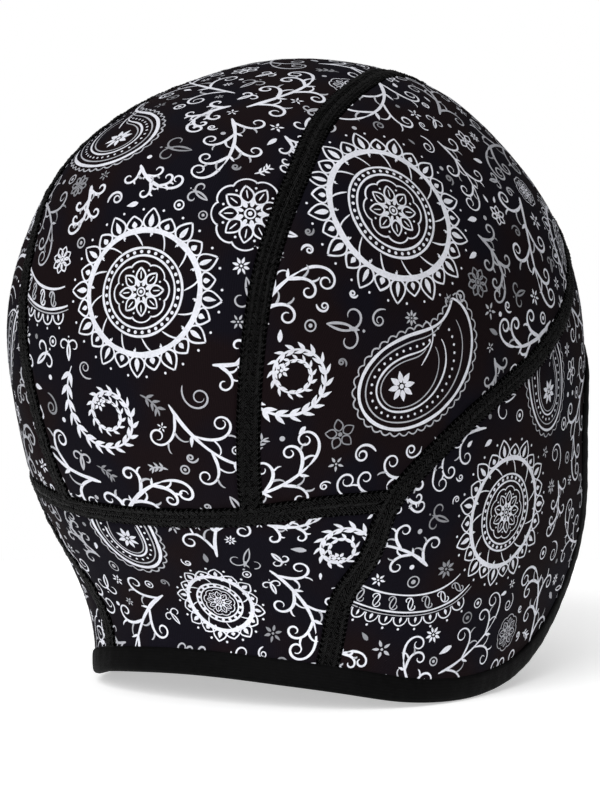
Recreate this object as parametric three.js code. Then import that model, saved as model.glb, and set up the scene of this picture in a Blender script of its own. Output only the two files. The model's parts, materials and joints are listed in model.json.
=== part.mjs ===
// Close-fitting skull cap with ear covers, in the shape it has on a head.
// Millimetres, +Z up. The wearer faces -Y and the wearer's right is -X.
// The origin is the inner face of the crown top, where the cap sits on the head.

import * as THREE from 'three';

// Cloth, seams and binding
const CLOTH_WALL = 1.6;
const SEAM_WIDTH = 7;
const SEAM_RISE = 0.9;
const BINDING_HEIGHT = 7.6;
const GAP = 0.4; // between pieces that meet
const PANEL_TIP = 1; // width of a panel where its two sides run together

// Mesh density
const PANEL_STEP = 9;
const SEAM_STEP = 8;
const BINDING_STEP = 6;
const TRACE_STEPS = 400;
const OVERRUN = 5; // points that a closed line runs on past its start and end
const PROBE = 0.5; // step on the flat map that finds how the face slopes

// How much fuller than an ellipse each level section is, half way between its axes
const SQUARENESS = 0.032;

// Level sections of the outer face, from the crown down. station is the length of cloth from the
// crown point down the side; the reaches are measured from the line straight down through that point.
const FORM = [
  { station: 0, drop: 0, half_width: 0, back: 0, front: 0 },
  { station: 22, drop: 3, half_width: 23, back: 23.5, front: 26 },
  { station: 45, drop: 13, half_width: 43.5, back: 56.5, front: 48.5 },
  { station: 70, drop: 30, half_width: 59.7, back: 87, front: 67 },
  { station: 98, drop: 52, half_width: 73.3, back: 99.4, front: 82.5 },
  { station: 128, drop: 80, half_width: 80, back: 104.3, front: 92 },
  { station: 158, drop: 110, half_width: 79, back: 98.7, front: 100.5 },
  { station: 188, drop: 140, half_width: 75.8, back: 82.2, front: 109.5 },
  { station: 218, drop: 170, half_width: 68.5, back: 60.5, front: 107.5 },
  { station: 246, drop: 198, half_width: 61.5, back: 69, front: 99 },
];

// Seam between the centre strip and a side panel: along the centre line from the crown point,
// back positive, and aside from it, both on the cloth laid flat round the crown point
const STRIP_SEAM = [
  { along: 185, aside: 77 },
  { along: 168, aside: 75 },
  { along: 145, aside: 72 },
  { along: 120, aside: 66 },
  { along: 95, aside: 58 },
  { along: 70, aside: 52.5 },
  { along: 54, aside: 47.5 },
  { along: 40, aside: 40 },
  { along: 27, aside: 34.5 },
  { along: 12, aside: 29.5 },
  { along: -8, aside: 24 },
  { along: -30, aside: 23.5 },
  { along: -60, aside: 33 },
  { along: -95, aside: 44 },
  { along: -150, aside: 56 },
];

// The next three lines by bearing, in degrees from straight back round to the side (90) and the
// front (180), and by station, the length of cloth from the crown point
const NAPE_SEAM = [
  { bearing: 0, station: 182 },
  { bearing: 25, station: 180.5 },
  { bearing: 38, station: 178 },
  { bearing: 51, station: 176.8 },
  { bearing: 62, station: 177 },
];

const EAR_SEAM = [
  { bearing: 35, station: 245 },
  { bearing: 34.7, station: 228 },
  { bearing: 36, station: 213.5 },
  { bearing: 42, station: 200 },
  { bearing: 47.8, station: 190 },
  { bearing: 51.6, station: 180 },
  { bearing: 59, station: 168.5 },
  { bearing: 67.5, station: 158.5 },
  { bearing: 77.5, station: 148.5 },
  { bearing: 90, station: 138.5 },
  { bearing: 99, station: 130.5 },
  { bearing: 109.5, station: 120.5 },
  { bearing: 120, station: 107 },
  { bearing: 131, station: 95.5 },
  { bearing: 143, station: 91.5 },
  { bearing: 158, station: 96 },
  { bearing: 172, station: 104 },
];

const EDGE = [
  { bearing: 0, station: 231.2 },
  { bearing: 22, station: 232.4 },
  { bearing: 44, station: 235.6 },
  { bearing: 58, station: 238.4 },
  { bearing: 72, station: 239.8 },
  { bearing: 87, station: 239.8 },
  { bearing: 98, station: 237.8 },
  { bearing: 106.5, station: 232.6 },
  { bearing: 113, station: 224.6 },
  { bearing: 118, station: 213 },
  { bearing: 120.8, station: 200 },
  { bearing: 120.8, station: 188 },
  { bearing: 119.8, station: 176 },
  { bearing: 120.2, station: 164 },
  { bearing: 122.8, station: 154 },
  { bearing: 128, station: 147 },
  { bearing: 134.5, station: 142.5 },
  { bearing: 142.5, station: 139.5 },
  { bearing: 153, station: 137.6 },
  { bearing: 167, station: 136.7 },
  { bearing: 180, station: 136.5 },
];

// Sections: across a seam on the outer face, and round the binding from its upper outer edge,
// up the cloth from the very edge and out from the cloth's outer face
const SEAM_SECTION = [
  { across: -1, out: 0.25 },
  { across: -0.72, out: 0.8 },
  { across: 0, out: 1 },
  { across: 0.72, out: 0.8 },
  { across: 1, out: 0.25 },
];

const BINDING_SECTION = [
  { up: BINDING_HEIGHT, out: 0.45 },
  { up: 4.6, out: 1 },
  { up: 1.6, out: 0.9 },
  { up: 0, out: -0.1 },
  { up: 0, out: -1.5 },
  { up: 1.6, out: -2.4 },
  { up: BINDING_HEIGHT, out: -2.1 },
];

// Cubic spline through a table column, with level slope change at both ends
function spline(xs, ys) {
  const n = xs.length - 1;
  const bend = new Array(n + 1).fill(0);
  const carry = new Array(n + 1).fill(0);
  for (let i = 1; i < n; i++) {
    const share = (xs[i] - xs[i - 1]) / (xs[i + 1] - xs[i - 1]);
    const turn = (ys[i + 1] - ys[i]) / (xs[i + 1] - xs[i]) - (ys[i] - ys[i - 1]) / (xs[i] - xs[i - 1]);
    const pivot = share * bend[i - 1] + 2;
    bend[i] = (share - 1) / pivot;
    carry[i] = ((6 * turn) / (xs[i + 1] - xs[i - 1]) - share * carry[i - 1]) / pivot;
  }
  for (let i = n - 1; i > 0; i--) {
    carry[i] += bend[i] * carry[i + 1];
  }
  return (x) => {
    let i = 0;
    while (i < n - 1 && x > xs[i + 1]) i++;
    const h = xs[i + 1] - xs[i];
    const a = (xs[i + 1] - x) / h;
    const b = 1 - a;
    const sag = ((a ** 3 - a) * carry[i] + (b ** 3 - b) * carry[i + 1]) * ((h * h) / 6);
    return a * ys[i] + b * ys[i + 1] + sag;
  };
}

// A column of the form table, carried through the crown point to the other side
function formColumn(name, sign) {
  const rows = FORM.slice(1).reverse();
  const xs = [...rows.map((row) => -row.station), ...FORM.map((row) => row.station)];
  const ys = [...rows.map((row) => sign * row[name]), ...FORM.map((row) => row[name])];
  return spline(xs, ys);
}

const dropAt = formColumn('drop', 1);
const halfWidthAt = formColumn('half_width', -1);
const backAt = formColumn('back', -1);
const frontAt = formColumn('front', -1);

// The flat map lays the cloth out round the crown point: x to the wearer's right, y to the back
function flat(bearing, station) {
  const angle = THREE.MathUtils.degToRad(bearing);
  return new THREE.Vector2(station * Math.sin(angle), station * Math.cos(angle));
}

// The outer face at a place of the flat map
function outerFace(place) {
  const station = Math.max(place.length(), Number.EPSILON);
  const side = place.x / station;
  const rear = place.y / station;
  const fullness = 1 + SQUARENESS * (2 * side * rear) ** 2;
  const reach = rear > 0 ? backAt(station) : frontAt(station);
  return new THREE.Vector3(
    -halfWidthAt(station) * fullness * side,
    reach * fullness * rear,
    CLOTH_WALL - dropAt(station),
  );
}

// How the outer face moves with the flat map, and its outward normal
function tangents(place) {
  const along = (x, y) =>
    outerFace(new THREE.Vector2(place.x + x, place.y + y))
      .sub(outerFace(new THREE.Vector2(place.x - x, place.y - y)))
      .divideScalar(2 * PROBE);
  const dx = along(PROBE, 0);
  const dy = along(0, PROBE);
  return { dx, dy, normal: dy.clone().cross(dx).normalize() };
}

// A point a little out from the outer face, or in when out is negative
function lift(place, out) {
  return outerFace(place).addScaledVector(tangents(place).normal, out);
}

// Moves a place of the flat map by a real distance along a direction that lies on the face
function slide(place, direction, distance) {
  const { dx, dy } = tangents(place);
  const xx = dx.dot(dx);
  const xy = dx.dot(dy);
  const yy = dy.dot(dy);
  const x = dx.dot(direction);
  const y = dy.dot(direction);
  const scale = distance / (xx * yy - xy * xy);
  return new THREE.Vector2(place.x + (yy * x - xy * y) * scale, place.y + (xx * y - xy * x) * scale);
}

// A smooth line through places of the flat map, as many short steps; a closed one runs on over its ends
function trace(points, closed = false) {
  const run = closed ? [...points.slice(-OVERRUN), ...points, ...points.slice(0, OVERRUN + 1)] : points;
  const lengths = [0];
  for (let i = 1; i < run.length; i++) {
    lengths.push(lengths[i - 1] + run[i].distanceTo(run[i - 1]));
  }
  const x = spline(lengths, run.map((point) => point.x));
  const y = spline(lengths, run.map((point) => point.y));
  const start = closed ? lengths[OVERRUN] : 0;
  const end = closed ? lengths[OVERRUN + points.length] : lengths[lengths.length - 1];
  const path = [];
  for (let i = 0; i < TRACE_STEPS + (closed ? 0 : 1); i++) {
    const s = start + ((end - start) * i) / TRACE_STEPS;
    path.push(new THREE.Vector2(x(s), y(s)));
  }
  return path;
}

// The line a real distance to the crown side, or left, of a line's direction of travel
function aside(path, distance, closed = false) {
  const last = path.length - 1;
  return path.map((place, i) => {
    const before = closed ? path[(i + last) % path.length] : path[Math.max(i - 1, 0)];
    const after = closed ? path[(i + 1) % path.length] : path[Math.min(i + 1, last)];
    const travel = outerFace(after).sub(outerFace(before)).normalize();
    const left = tangents(place).normal.cross(travel);
    return slide(place, left, distance);
  });
}

// The same line on the other side of the middle
function mirror(path) {
  return path.map((place) => new THREE.Vector2(-place.x, place.y));
}

// Where one line first crosses another, as a position along it
function crossing(first, second) {
  for (let i = 0; i + 1 < first.length; i++) {
    const a = first[i];
    const u = first[i + 1].clone().sub(a);
    for (let j = 0; j + 1 < second.length; j++) {
      const v = second[j + 1].clone().sub(second[j]);
      const area = u.cross(v);
      if (area === 0) continue;
      const w = second[j].clone().sub(a);
      const s = w.cross(v) / area;
      const t = w.cross(u) / area;
      if (s >= 0 && s <= 1 && t >= 0 && t <= 1) return i + s;
    }
  }
  throw new Error('two lines that should meet do not');
}

function placeAt(path, position) {
  const i = Math.min(Math.floor(position), path.length - 2);
  return path[i].clone().lerp(path[i + 1], position - i);
}

// The stretch of a line between two of its positions, in the order given
function stretch(path, from, to) {
  if (from > to) return stretch(path, to, from).reverse();
  const inner = path.slice(Math.floor(from) + 1, Math.ceil(to));
  return [placeAt(path, from), ...inner, placeAt(path, to)];
}

// The stretch of a line between the two lines that cut it
function between(path, start, end) {
  return stretch(path, crossing(path, start), crossing(path, end));
}

function realLength(path) {
  let length = 0;
  for (let i = 0; i + 1 < path.length; i++) {
    length += outerFace(path[i]).distanceTo(outerFace(path[i + 1]));
  }
  return length;
}

// The line again in equal real steps
function even(path, steps) {
  const lengths = [0];
  for (let i = 0; i + 1 < path.length; i++) {
    lengths.push(lengths[i] + outerFace(path[i]).distanceTo(outerFace(path[i + 1])));
  }
  const total = lengths[lengths.length - 1];
  const places = [];
  let i = 0;
  for (let k = 0; k <= steps; k++) {
    const wanted = (total * k) / steps;
    while (i < lengths.length - 2 && lengths[i + 1] < wanted) i++;
    places.push(path[i].clone().lerp(path[i + 1], (wanted - lengths[i]) / (lengths[i + 1] - lengths[i])));
  }
  return places;
}

// Fills the space between four lines: start and end run across, near and far join their ends
function fill(start, end, near, far, across, along) {
  const a = even(start, across);
  const b = even(end, across);
  const c = even(near, along);
  const d = even(far, along);
  const rows = [];
  for (let j = 0; j <= along; j++) {
    const v = j / along;
    const row = [];
    for (let i = 0; i <= across; i++) {
      const u = i / across;
      const corners = a[0].clone().multiplyScalar((1 - u) * (1 - v));
      corners.addScaledVector(a[across], u * (1 - v));
      corners.addScaledVector(b[0], (1 - u) * v);
      corners.addScaledVector(b[across], u * v);
      const place = a[i].clone().multiplyScalar(1 - v).addScaledVector(b[i], v);
      place.addScaledVector(c[j], 1 - u).addScaledVector(d[j], u).sub(corners);
      row.push(place);
    }
    rows.push(row);
  }
  return rows;
}

// A closed mesh from points and triangles, turned so that its faces point out
function closedMesh(points, triangles) {
  let volume = 0;
  for (const [i, j, k] of triangles) {
    volume += points[i].dot(points[j].clone().cross(points[k]));
  }
  const corners = volume > 0 ? triangles.flat() : triangles.map(([i, j, k]) => [i, k, j]).flat();
  const geometry = new THREE.BufferGeometry();
  geometry.setAttribute('position', new THREE.Float32BufferAttribute(points.flatMap((p) => p.toArray()), 3));
  geometry.setIndex(corners);
  geometry.computeVertexNormals();
  return geometry;
}

// A wall of cloth over rows of places; outAt gives how far the outer face stands out across a row
function clothWall(rows, outAt = () => 0) {
  const across = rows[0].length;
  const along = rows.length;
  const points = [];
  for (const row of rows) row.forEach((place, i) => points.push(lift(place, outAt(i))));
  for (const row of rows) row.forEach((place) => points.push(lift(place, -CLOTH_WALL)));
  const inside = across * along;
  const at = (i, j) => j * across + i;
  const triangles = [];
  for (let j = 0; j + 1 < along; j++) {
    for (let i = 0; i + 1 < across; i++) {
      const [a, b, c, d] = [at(i, j), at(i + 1, j), at(i + 1, j + 1), at(i, j + 1)];
      triangles.push([a, b, c], [a, c, d]);
      triangles.push([a + inside, c + inside, b + inside], [a + inside, d + inside, c + inside]);
    }
  }
  const rim = [];
  for (let i = 0; i + 1 < across; i++) rim.push(at(i, 0));
  for (let j = 0; j + 1 < along; j++) rim.push(at(across - 1, j));
  for (let i = across - 1; i > 0; i--) rim.push(at(i, along - 1));
  for (let j = along - 1; j > 0; j--) rim.push(at(0, j));
  rim.forEach((a, k) => {
    const b = rim[(k + 1) % rim.length];
    triangles.push([a, a + inside, b + inside], [a, b + inside, b]);
  });
  return closedMesh(points, triangles);
}

function panel(start, end, near, far) {
  const along = Math.round(Math.max(realLength(near), realLength(far)) / PANEL_STEP);
  const opposite = even(far, along);
  const widths = even(near, along).map((place, j) => realLength([place, opposite[j]]));
  const across = Math.round(Math.max(...widths) / PANEL_STEP);
  return clothWall(fill(start, end, near, far, across, along));
}

// A raised seam between its two edges, with ends that follow the lines that cut them
function seam(near, far) {
  const along = Math.round(Math.max(realLength(near), realLength(far)) / SEAM_STEP);
  const left = even(near, along);
  const right = even(far, along);
  const rows = left.map((place, j) =>
    SEAM_SECTION.map(({ across }) => place.clone().lerp(right[j], (across + 1) / 2)),
  );
  return clothWall(rows, (i) => SEAM_SECTION[i].out * SEAM_RISE);
}

// The binding: its section carried once round the edge
function binding(edge) {
  const steps = Math.round(realLength(edge) / BINDING_STEP);
  const round = even([...edge, edge[0]], steps).slice(0, -1);
  const count = BINDING_SECTION.length;
  const lines = BINDING_SECTION.map(({ up }) => aside(round, up, true));
  const points = [];
  for (let k = 0; k < round.length; k++) {
    BINDING_SECTION.forEach(({ out }, i) => points.push(lift(lines[i][k], out)));
  }
  const triangles = [];
  for (let k = 0; k < round.length; k++) {
    const next = (k + 1) % round.length;
    for (let i = 0; i < count; i++) {
      const j = (i + 1) % count;
      const [a, b, c, d] = [k * count + i, k * count + j, next * count + j, next * count + i];
      triangles.push([a, b, c], [a, c, d]);
    }
  }
  return closedMesh(points, triangles);
}

// The same piece on the wearer's left
function leftHand(geometry) {
  const copy = geometry.clone();
  copy.scale(-1, 1, 1);
  const index = Array.from(copy.index.array);
  for (let i = 0; i < index.length; i += 3) {
    [index[i], index[i + 1]] = [index[i + 1], index[i]];
  }
  copy.setIndex(index);
  copy.computeVertexNormals();
  return copy;
}

// Middle lines of the seams, and the very edge, on the flat map. The strip's and the ear panel's seams
// are those of the wearer's right; the nape seam and the edge run across the middle.
const places = (rows) => rows.map(({ bearing, station }) => flat(bearing, station));
const napeHalf = places(NAPE_SEAM);
const edgeHalf = places(EDGE);
const stripLine = trace(STRIP_SEAM.map((row) => new THREE.Vector2(row.aside, row.along)));
const napeLine = trace([...mirror(napeHalf.slice(1)).reverse(), ...napeHalf]);
const earLine = trace(places(EAR_SEAM));
const edgeLine = trace([...edgeHalf, ...mirror(edgeHalf.slice(1, -1)).reverse()], true);

// The two lines beside another one, the one nearer to the crown point first
function bothSides(path, distance, closed = false) {
  const middle = Math.floor(path.length / 2);
  const lines = [aside(path, distance, closed), aside(path, -distance, closed)];
  return lines.sort((a, b) => a[middle].length() - b[middle].length());
}

const seamHalf = SEAM_WIDTH / 2;
const panelHalf = seamHalf + GAP;
const [stripIn, stripOut] = bothSides(stripLine, seamHalf);
const [stripPanelIn, stripPanelOut] = bothSides(stripLine, panelHalf);
const [napeUp, napeDown] = bothSides(napeLine, seamHalf);
const [napePanelUp, napePanelDown] = bothSides(napeLine, panelHalf);
const [earBack, earFront] = bothSides(earLine, seamHalf);
const [earPanelBack, earPanelFront] = bothSides(earLine, panelHalf);
const [edgePanel] = bothSides(edgeLine, BINDING_HEIGHT + GAP, true);

// The panels' line above the binding, opened at the forehead for the back and at the nape for the front
const half = edgePanel.length / 2;
const edgeRound = [...edgePanel, edgePanel[0]];
const edgeBack = [...edgePanel.slice(half), ...edgePanel.slice(0, half)];

// Pieces
function crownStrip() {
  const leftLine = mirror(stripPanelIn);
  const rightSide = between(stripPanelIn, napePanelUp, edgeRound);
  const nape = between(napePanelUp, leftLine, stripPanelIn);
  const forehead = between(edgeRound, leftLine, stripPanelIn);
  return panel(nape, forehead, mirror(rightSide), rightSide);
}

// A line stopped a little before its end, where it would run into another one
function shorten(path) {
  return stretch(path, 0, (path.length - 1) * (1 - PANEL_TIP / realLength(path)));
}

function tipBetween(near, far) {
  return [near[near.length - 1], far[far.length - 1]];
}

function sidePanel() {
  const nape = between(napePanelUp, stripPanelOut, earPanelBack);
  const seamSide = shorten(between(stripPanelOut, napePanelUp, earPanelBack));
  const earSide = shorten(between(earPanelBack, napePanelUp, stripPanelOut));
  return panel(nape, tipBetween(seamSide, earSide), seamSide, earSide);
}

function earPanel() {
  const temple = between(stripPanelOut, edgeRound, earPanelFront).reverse();
  const seamSide = shorten(between(earPanelFront, stripPanelOut, edgeRound));
  const edgeSide = shorten(between(edgeRound, stripPanelOut, earPanelFront));
  return panel(temple, tipBetween(seamSide, edgeSide), seamSide, edgeSide);
}

function napePanel() {
  const leftLine = mirror(earPanelBack);
  const rightSide = between(earPanelBack, edgeBack, napePanelDown);
  const bottom = between(edgeBack, leftLine, earPanelBack);
  const top = between(napePanelDown, leftLine, earPanelBack);
  return panel(bottom, top, mirror(rightSide), rightSide);
}

function stripSeam() {
  return seam(between(stripIn, napePanelUp, edgeRound), between(stripOut, napePanelUp, edgeRound));
}

function earSeam() {
  return seam(between(earBack, edgeRound, stripPanelOut), between(earFront, edgeRound, stripPanelOut));
}

function napeSeam() {
  const ends = [mirror(earPanelBack), earPanelBack];
  return seam(between(napeUp, ...ends), between(napeDown, ...ends));
}

const printedCloth = { color: 0x1c191d, roughness: 0.85, metalness: 0 };
const seamThread = { color: 0x0d0c0e, roughness: 0.8, metalness: 0 };
const bindingCloth = { color: 0x111012, roughness: 0.7, metalness: 0 };

function piece(name, geometry, finish) {
  const mesh = new THREE.Mesh(geometry, new THREE.MeshStandardMaterial(finish));
  mesh.name = name;
  return mesh;
}

const cap = new THREE.Group();
cap.name = 'skull_cap';
cap.add(piece('crown_strip', crownStrip(), printedCloth));
cap.add(piece('nape_panel', napePanel(), printedCloth));
cap.add(piece('seam_nape', napeSeam(), seamThread));
cap.add(piece('edge_binding', binding(edgeLine), bindingCloth));
const pairs = [
  ['side_panel', sidePanel(), printedCloth],
  ['ear_panel', earPanel(), printedCloth],
  ['seam_strip', stripSeam(), seamThread],
  ['seam_ear', earSeam(), seamThread],
];
for (const [name, geometry, finish] of pairs) {
  cap.add(piece(`${name}_right`, geometry, finish));
  cap.add(piece(`${name}_left`, leftHand(geometry), finish));
}

export default cap;
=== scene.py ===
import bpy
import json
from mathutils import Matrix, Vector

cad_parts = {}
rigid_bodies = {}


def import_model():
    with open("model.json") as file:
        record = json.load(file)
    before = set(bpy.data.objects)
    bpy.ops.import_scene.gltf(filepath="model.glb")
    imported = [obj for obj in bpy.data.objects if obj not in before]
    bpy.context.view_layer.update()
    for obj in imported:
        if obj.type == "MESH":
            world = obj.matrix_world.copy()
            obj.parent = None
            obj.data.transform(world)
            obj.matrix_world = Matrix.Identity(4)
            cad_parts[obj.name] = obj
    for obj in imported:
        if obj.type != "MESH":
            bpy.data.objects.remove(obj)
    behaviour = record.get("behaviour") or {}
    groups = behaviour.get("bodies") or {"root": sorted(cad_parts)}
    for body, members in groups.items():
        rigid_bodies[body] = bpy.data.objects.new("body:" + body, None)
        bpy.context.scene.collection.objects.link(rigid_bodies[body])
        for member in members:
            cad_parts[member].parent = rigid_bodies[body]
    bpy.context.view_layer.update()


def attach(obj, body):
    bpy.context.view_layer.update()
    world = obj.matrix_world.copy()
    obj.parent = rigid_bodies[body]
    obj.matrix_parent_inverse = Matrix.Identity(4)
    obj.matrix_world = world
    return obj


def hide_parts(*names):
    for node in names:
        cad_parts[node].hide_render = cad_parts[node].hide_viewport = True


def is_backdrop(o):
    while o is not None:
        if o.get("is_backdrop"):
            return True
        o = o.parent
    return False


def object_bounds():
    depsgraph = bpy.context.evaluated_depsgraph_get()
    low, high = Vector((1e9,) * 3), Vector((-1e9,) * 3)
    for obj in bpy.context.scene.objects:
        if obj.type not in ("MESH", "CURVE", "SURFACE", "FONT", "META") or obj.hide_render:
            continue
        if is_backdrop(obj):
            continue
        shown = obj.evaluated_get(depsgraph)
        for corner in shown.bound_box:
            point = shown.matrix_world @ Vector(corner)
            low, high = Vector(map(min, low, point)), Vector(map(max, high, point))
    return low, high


bl_info = {
    "name": "Skull cap with ear covers",
    "version": (1, 0, 0),
    "blender": (4, 5, 0),
    "location": "3D Viewport > Sidebar > Cap",
    "description": "Cloth panels, flat seams, edge binding and ornament of a close-fitting cap",
    "category": "Object",
}

import json
import math

import bpy
import numpy as np
from bpy.props import FloatProperty, FloatVectorProperty, PointerProperty
from mathutils import Vector

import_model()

# Everything on the cap is worked out in millimetres and made in metres
MM = 0.001
TAU = 2 * math.pi
WALL = 1.6
# How much fuller than an ellipse each level section is, half way between its axes
SQUARENESS = 0.032
# Steps of the flat map for slopes, steps of a traced line, and points that a closed line runs on for
PROBE = 0.5
TRACE_STEPS = 400
OVERRUN = 5
# Least length that is divided by, and a distance longer than any on the cap
LEAST = 1e-12
LEAST_STATION = 1e-9
FAR = 1e3

# Level sections of the outer face, from the crown down: the length of cloth from the crown point
# down the side, the drop, and the reaches from the line straight down through that point
FORM = {
    "station": (0, 22, 45, 70, 98, 128, 158, 188, 218, 246),
    "drop": (0, 3, 13, 30, 52, 80, 110, 140, 170, 198),
    "half_width": (0, 23, 43.5, 59.7, 73.3, 80, 79, 75.8, 68.5, 61.5),
    "back": (0, 23.5, 56.5, 87, 99.4, 104.3, 98.7, 82.2, 60.5, 69),
    "front": (0, 26, 48.5, 67, 82.5, 92, 100.5, 109.5, 107.5, 99),
}

# Seam between the centre strip and a side panel: along the middle from the crown point, back
# positive, and aside from it, both on the cloth laid flat round the crown point
STRIP_SEAM = {
    "along": (185, 168, 145, 120, 95, 70, 54, 40, 27, 12, -8, -30, -60, -95, -150),
    "aside": (77, 75, 72, 66, 58, 52.5, 47.5, 40, 34.5, 29.5, 24, 23.5, 33, 44, 56),
}

# The next lines by bearing, in degrees from straight back round to the front, and by station
NAPE_SEAM = {
    "bearing": (0, 25, 38, 51, 62),
    "station": (182, 180.5, 178, 176.8, 177),
}
EAR_SEAM = {
    "bearing": (35, 34.7, 36, 42, 47.8, 51.6, 59, 67.5, 77.5, 90, 99, 109.5, 120, 131, 143, 158, 172),
    "station": (
        245, 228, 213.5, 200, 190, 180, 168.5, 158.5, 148.5,
        138.5, 130.5, 120.5, 107, 95.5, 91.5, 96, 104,
    ),
}  # fmt: skip
EDGE = {
    "bearing": (
        0, 22, 44, 58, 72, 87, 98, 106.5, 113, 118, 120.8,
        120.8, 119.8, 120.2, 122.8, 128, 134.5, 142.5, 153, 167, 180,
    ),
    "station": (
        231.2, 232.4, 235.6, 238.4, 239.8, 239.8, 237.8, 232.6, 224.6, 213, 200,
        188, 176, 164, 154, 147, 142.5, 139.5, 137.6, 136.7, 136.5,
    ),
}  # fmt: skip


def spline(xs, ys):
    """Cubic spline through a table column, straight at both ends."""
    xs = np.asarray(xs, float)
    ys = np.asarray(ys, float)
    last = len(xs) - 1
    bend = np.zeros(last + 1)
    carry = np.zeros(last + 1)
    for i in range(1, last):
        share = (xs[i] - xs[i - 1]) / (xs[i + 1] - xs[i - 1])
        turn = (ys[i + 1] - ys[i]) / (xs[i + 1] - xs[i]) - (ys[i] - ys[i - 1]) / (xs[i] - xs[i - 1])
        pivot = share * bend[i - 1] + 2
        bend[i] = (share - 1) / pivot
        carry[i] = (6 * turn / (xs[i + 1] - xs[i - 1]) - share * carry[i - 1]) / pivot
    for i in range(last - 1, 0, -1):
        carry[i] += bend[i] * carry[i + 1]

    def at(x):
        """The column's value at a place between its rows."""
        i = np.clip(np.searchsorted(xs, x) - 1, 0, last - 1)
        h = xs[i + 1] - xs[i]
        a = (xs[i + 1] - x) / h
        b = 1 - a
        sag = ((a**3 - a) * carry[i] + (b**3 - b) * carry[i + 1]) * h * h / 6
        return a * ys[i] + b * ys[i + 1] + sag

    return at


def form_column(name, sign):
    """A column of the form, carried through the crown point to the other side."""
    xs = FORM["station"]
    ys = FORM[name]
    return spline([-x for x in xs[:0:-1]] + list(xs), [sign * y for y in ys[:0:-1]] + list(ys))


drop_at = form_column("drop", 1)
half_width_at = form_column("half_width", -1)
back_at = form_column("back", -1)
front_at = form_column("front", -1)


def outer_face(places):
    """Points of the outer face for places of the flat map, n by 2, in millimetres."""
    station = np.maximum(np.hypot(places[:, 0], places[:, 1]), LEAST_STATION)
    side = places[:, 0] / station
    rear = places[:, 1] / station
    fullness = 1 + SQUARENESS * (2 * side * rear) ** 2
    reach = np.where(rear > 0, back_at(station), front_at(station))
    return np.stack(
        [-half_width_at(station) * fullness * side, reach * fullness * rear, WALL - drop_at(station)],
        axis=1,
    )


def unit(vectors):
    """Vectors made one long."""
    return vectors / np.maximum(np.linalg.norm(vectors, axis=-1, keepdims=True), LEAST)


def tangents(places):
    """How the outer face moves with the flat map's two directions, and its outward normal."""
    x = np.array([[PROBE, 0.0]])
    y = np.array([[0.0, PROBE]])
    dx = (outer_face(places + x) - outer_face(places - x)) / (2 * PROBE)
    dy = (outer_face(places + y) - outer_face(places - y)) / (2 * PROBE)
    return dx, dy, unit(np.cross(dy, dx))


def slide(places, direction, distance, dx, dy):
    """Places moved a real distance along a direction that lies on the face."""
    xx = (dx * dx).sum(1)
    xy = (dx * dy).sum(1)
    yy = (dy * dy).sum(1)
    x = (dx * direction).sum(1)
    y = (dy * direction).sum(1)
    scale = distance / (xx * yy - xy * xy)
    return places + np.stack([(yy * x - xy * y) * scale, (xx * y - xy * x) * scale], axis=1)


def trace(points, closed=False):
    """A smooth line through places of the flat map, as many short steps."""
    points = np.asarray(points, float)
    run = np.concatenate([points[-OVERRUN:], points, points[: OVERRUN + 1]]) if closed else points
    steps = np.hypot(*np.diff(run, axis=0).T)
    lengths = np.concatenate([[0], np.cumsum(steps)])
    start = lengths[OVERRUN] if closed else 0
    end = lengths[OVERRUN + len(points)] if closed else lengths[-1]
    s = np.linspace(start, end, TRACE_STEPS + 1)
    if closed:
        s = s[:-1]
    return np.stack([spline(lengths, run[:, 0])(s), spline(lengths, run[:, 1])(s)], axis=1)


def aside(path, distance, closed=False):
    """The line a real distance to the left of a line's direction of travel."""
    if closed:
        before, after = np.roll(path, 1, axis=0), np.roll(path, -1, axis=0)
    else:
        before = np.concatenate([path[:1], path[:-1]])
        after = np.concatenate([path[1:], path[-1:]])
    travel = unit(outer_face(after) - outer_face(before))
    dx, dy, normal = tangents(path)
    return slide(path, np.cross(normal, travel), distance, dx, dy)


def both_sides(path, distance, closed=False):
    """The two lines beside another one, the one nearer to the crown point first."""
    middle = len(path) // 2
    lines = [aside(path, distance, closed), aside(path, -distance, closed)]
    return sorted(lines, key=lambda line: np.hypot(*line[middle]))


def mirror(path):
    """The same line on the wearer's other side."""
    return path * np.array([-1.0, 1.0])


def crossing(first, second):
    """Where one line first crosses another, as a position along it."""
    a = first[:-1, None]
    u = np.diff(first, axis=0)[:, None]
    v = np.diff(second, axis=0)[None]
    w = second[None, :-1] - a
    area = u[..., 0] * v[..., 1] - u[..., 1] * v[..., 0]
    area = np.where(area == 0, np.nan, area)
    s = (w[..., 0] * v[..., 1] - w[..., 1] * v[..., 0]) / area
    t = (w[..., 0] * u[..., 1] - w[..., 1] * u[..., 0]) / area
    found = np.argwhere((s >= 0) & (s <= 1) & (t >= 0) & (t <= 1))
    if not len(found):
        raise ValueError("two lines that should meet do not")
    i, j = found[0]
    return i + s[i, j]


def place_at(path, position):
    """The place at a position along a line, between its own places too."""
    i = min(int(position), len(path) - 2)
    return path[i] + (path[i + 1] - path[i]) * (position - i)


def stretch(path, start, end):
    """The stretch of a line between two of its positions, in the order given."""
    if start > end:
        return stretch(path, end, start)[::-1]
    inner = path[int(start) + 1 : math.ceil(end)]
    return np.concatenate([[place_at(path, start)], inner, [place_at(path, end)]])


def between(path, start, end):
    """The stretch of a line between the two lines that cut it."""
    return stretch(path, crossing(path, start), crossing(path, end))


def real_lengths(path):
    """Real distance along a line, at each of its places."""
    return np.concatenate([[0], np.cumsum(np.linalg.norm(np.diff(outer_face(path), axis=0), axis=1))])


def even(path, steps):
    """The line again in equal real steps."""
    lengths = real_lengths(path)
    wanted = np.linspace(0, lengths[-1], steps + 1)
    return np.stack([np.interp(wanted, lengths, path[:, k]) for k in (0, 1)], axis=1)


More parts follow.
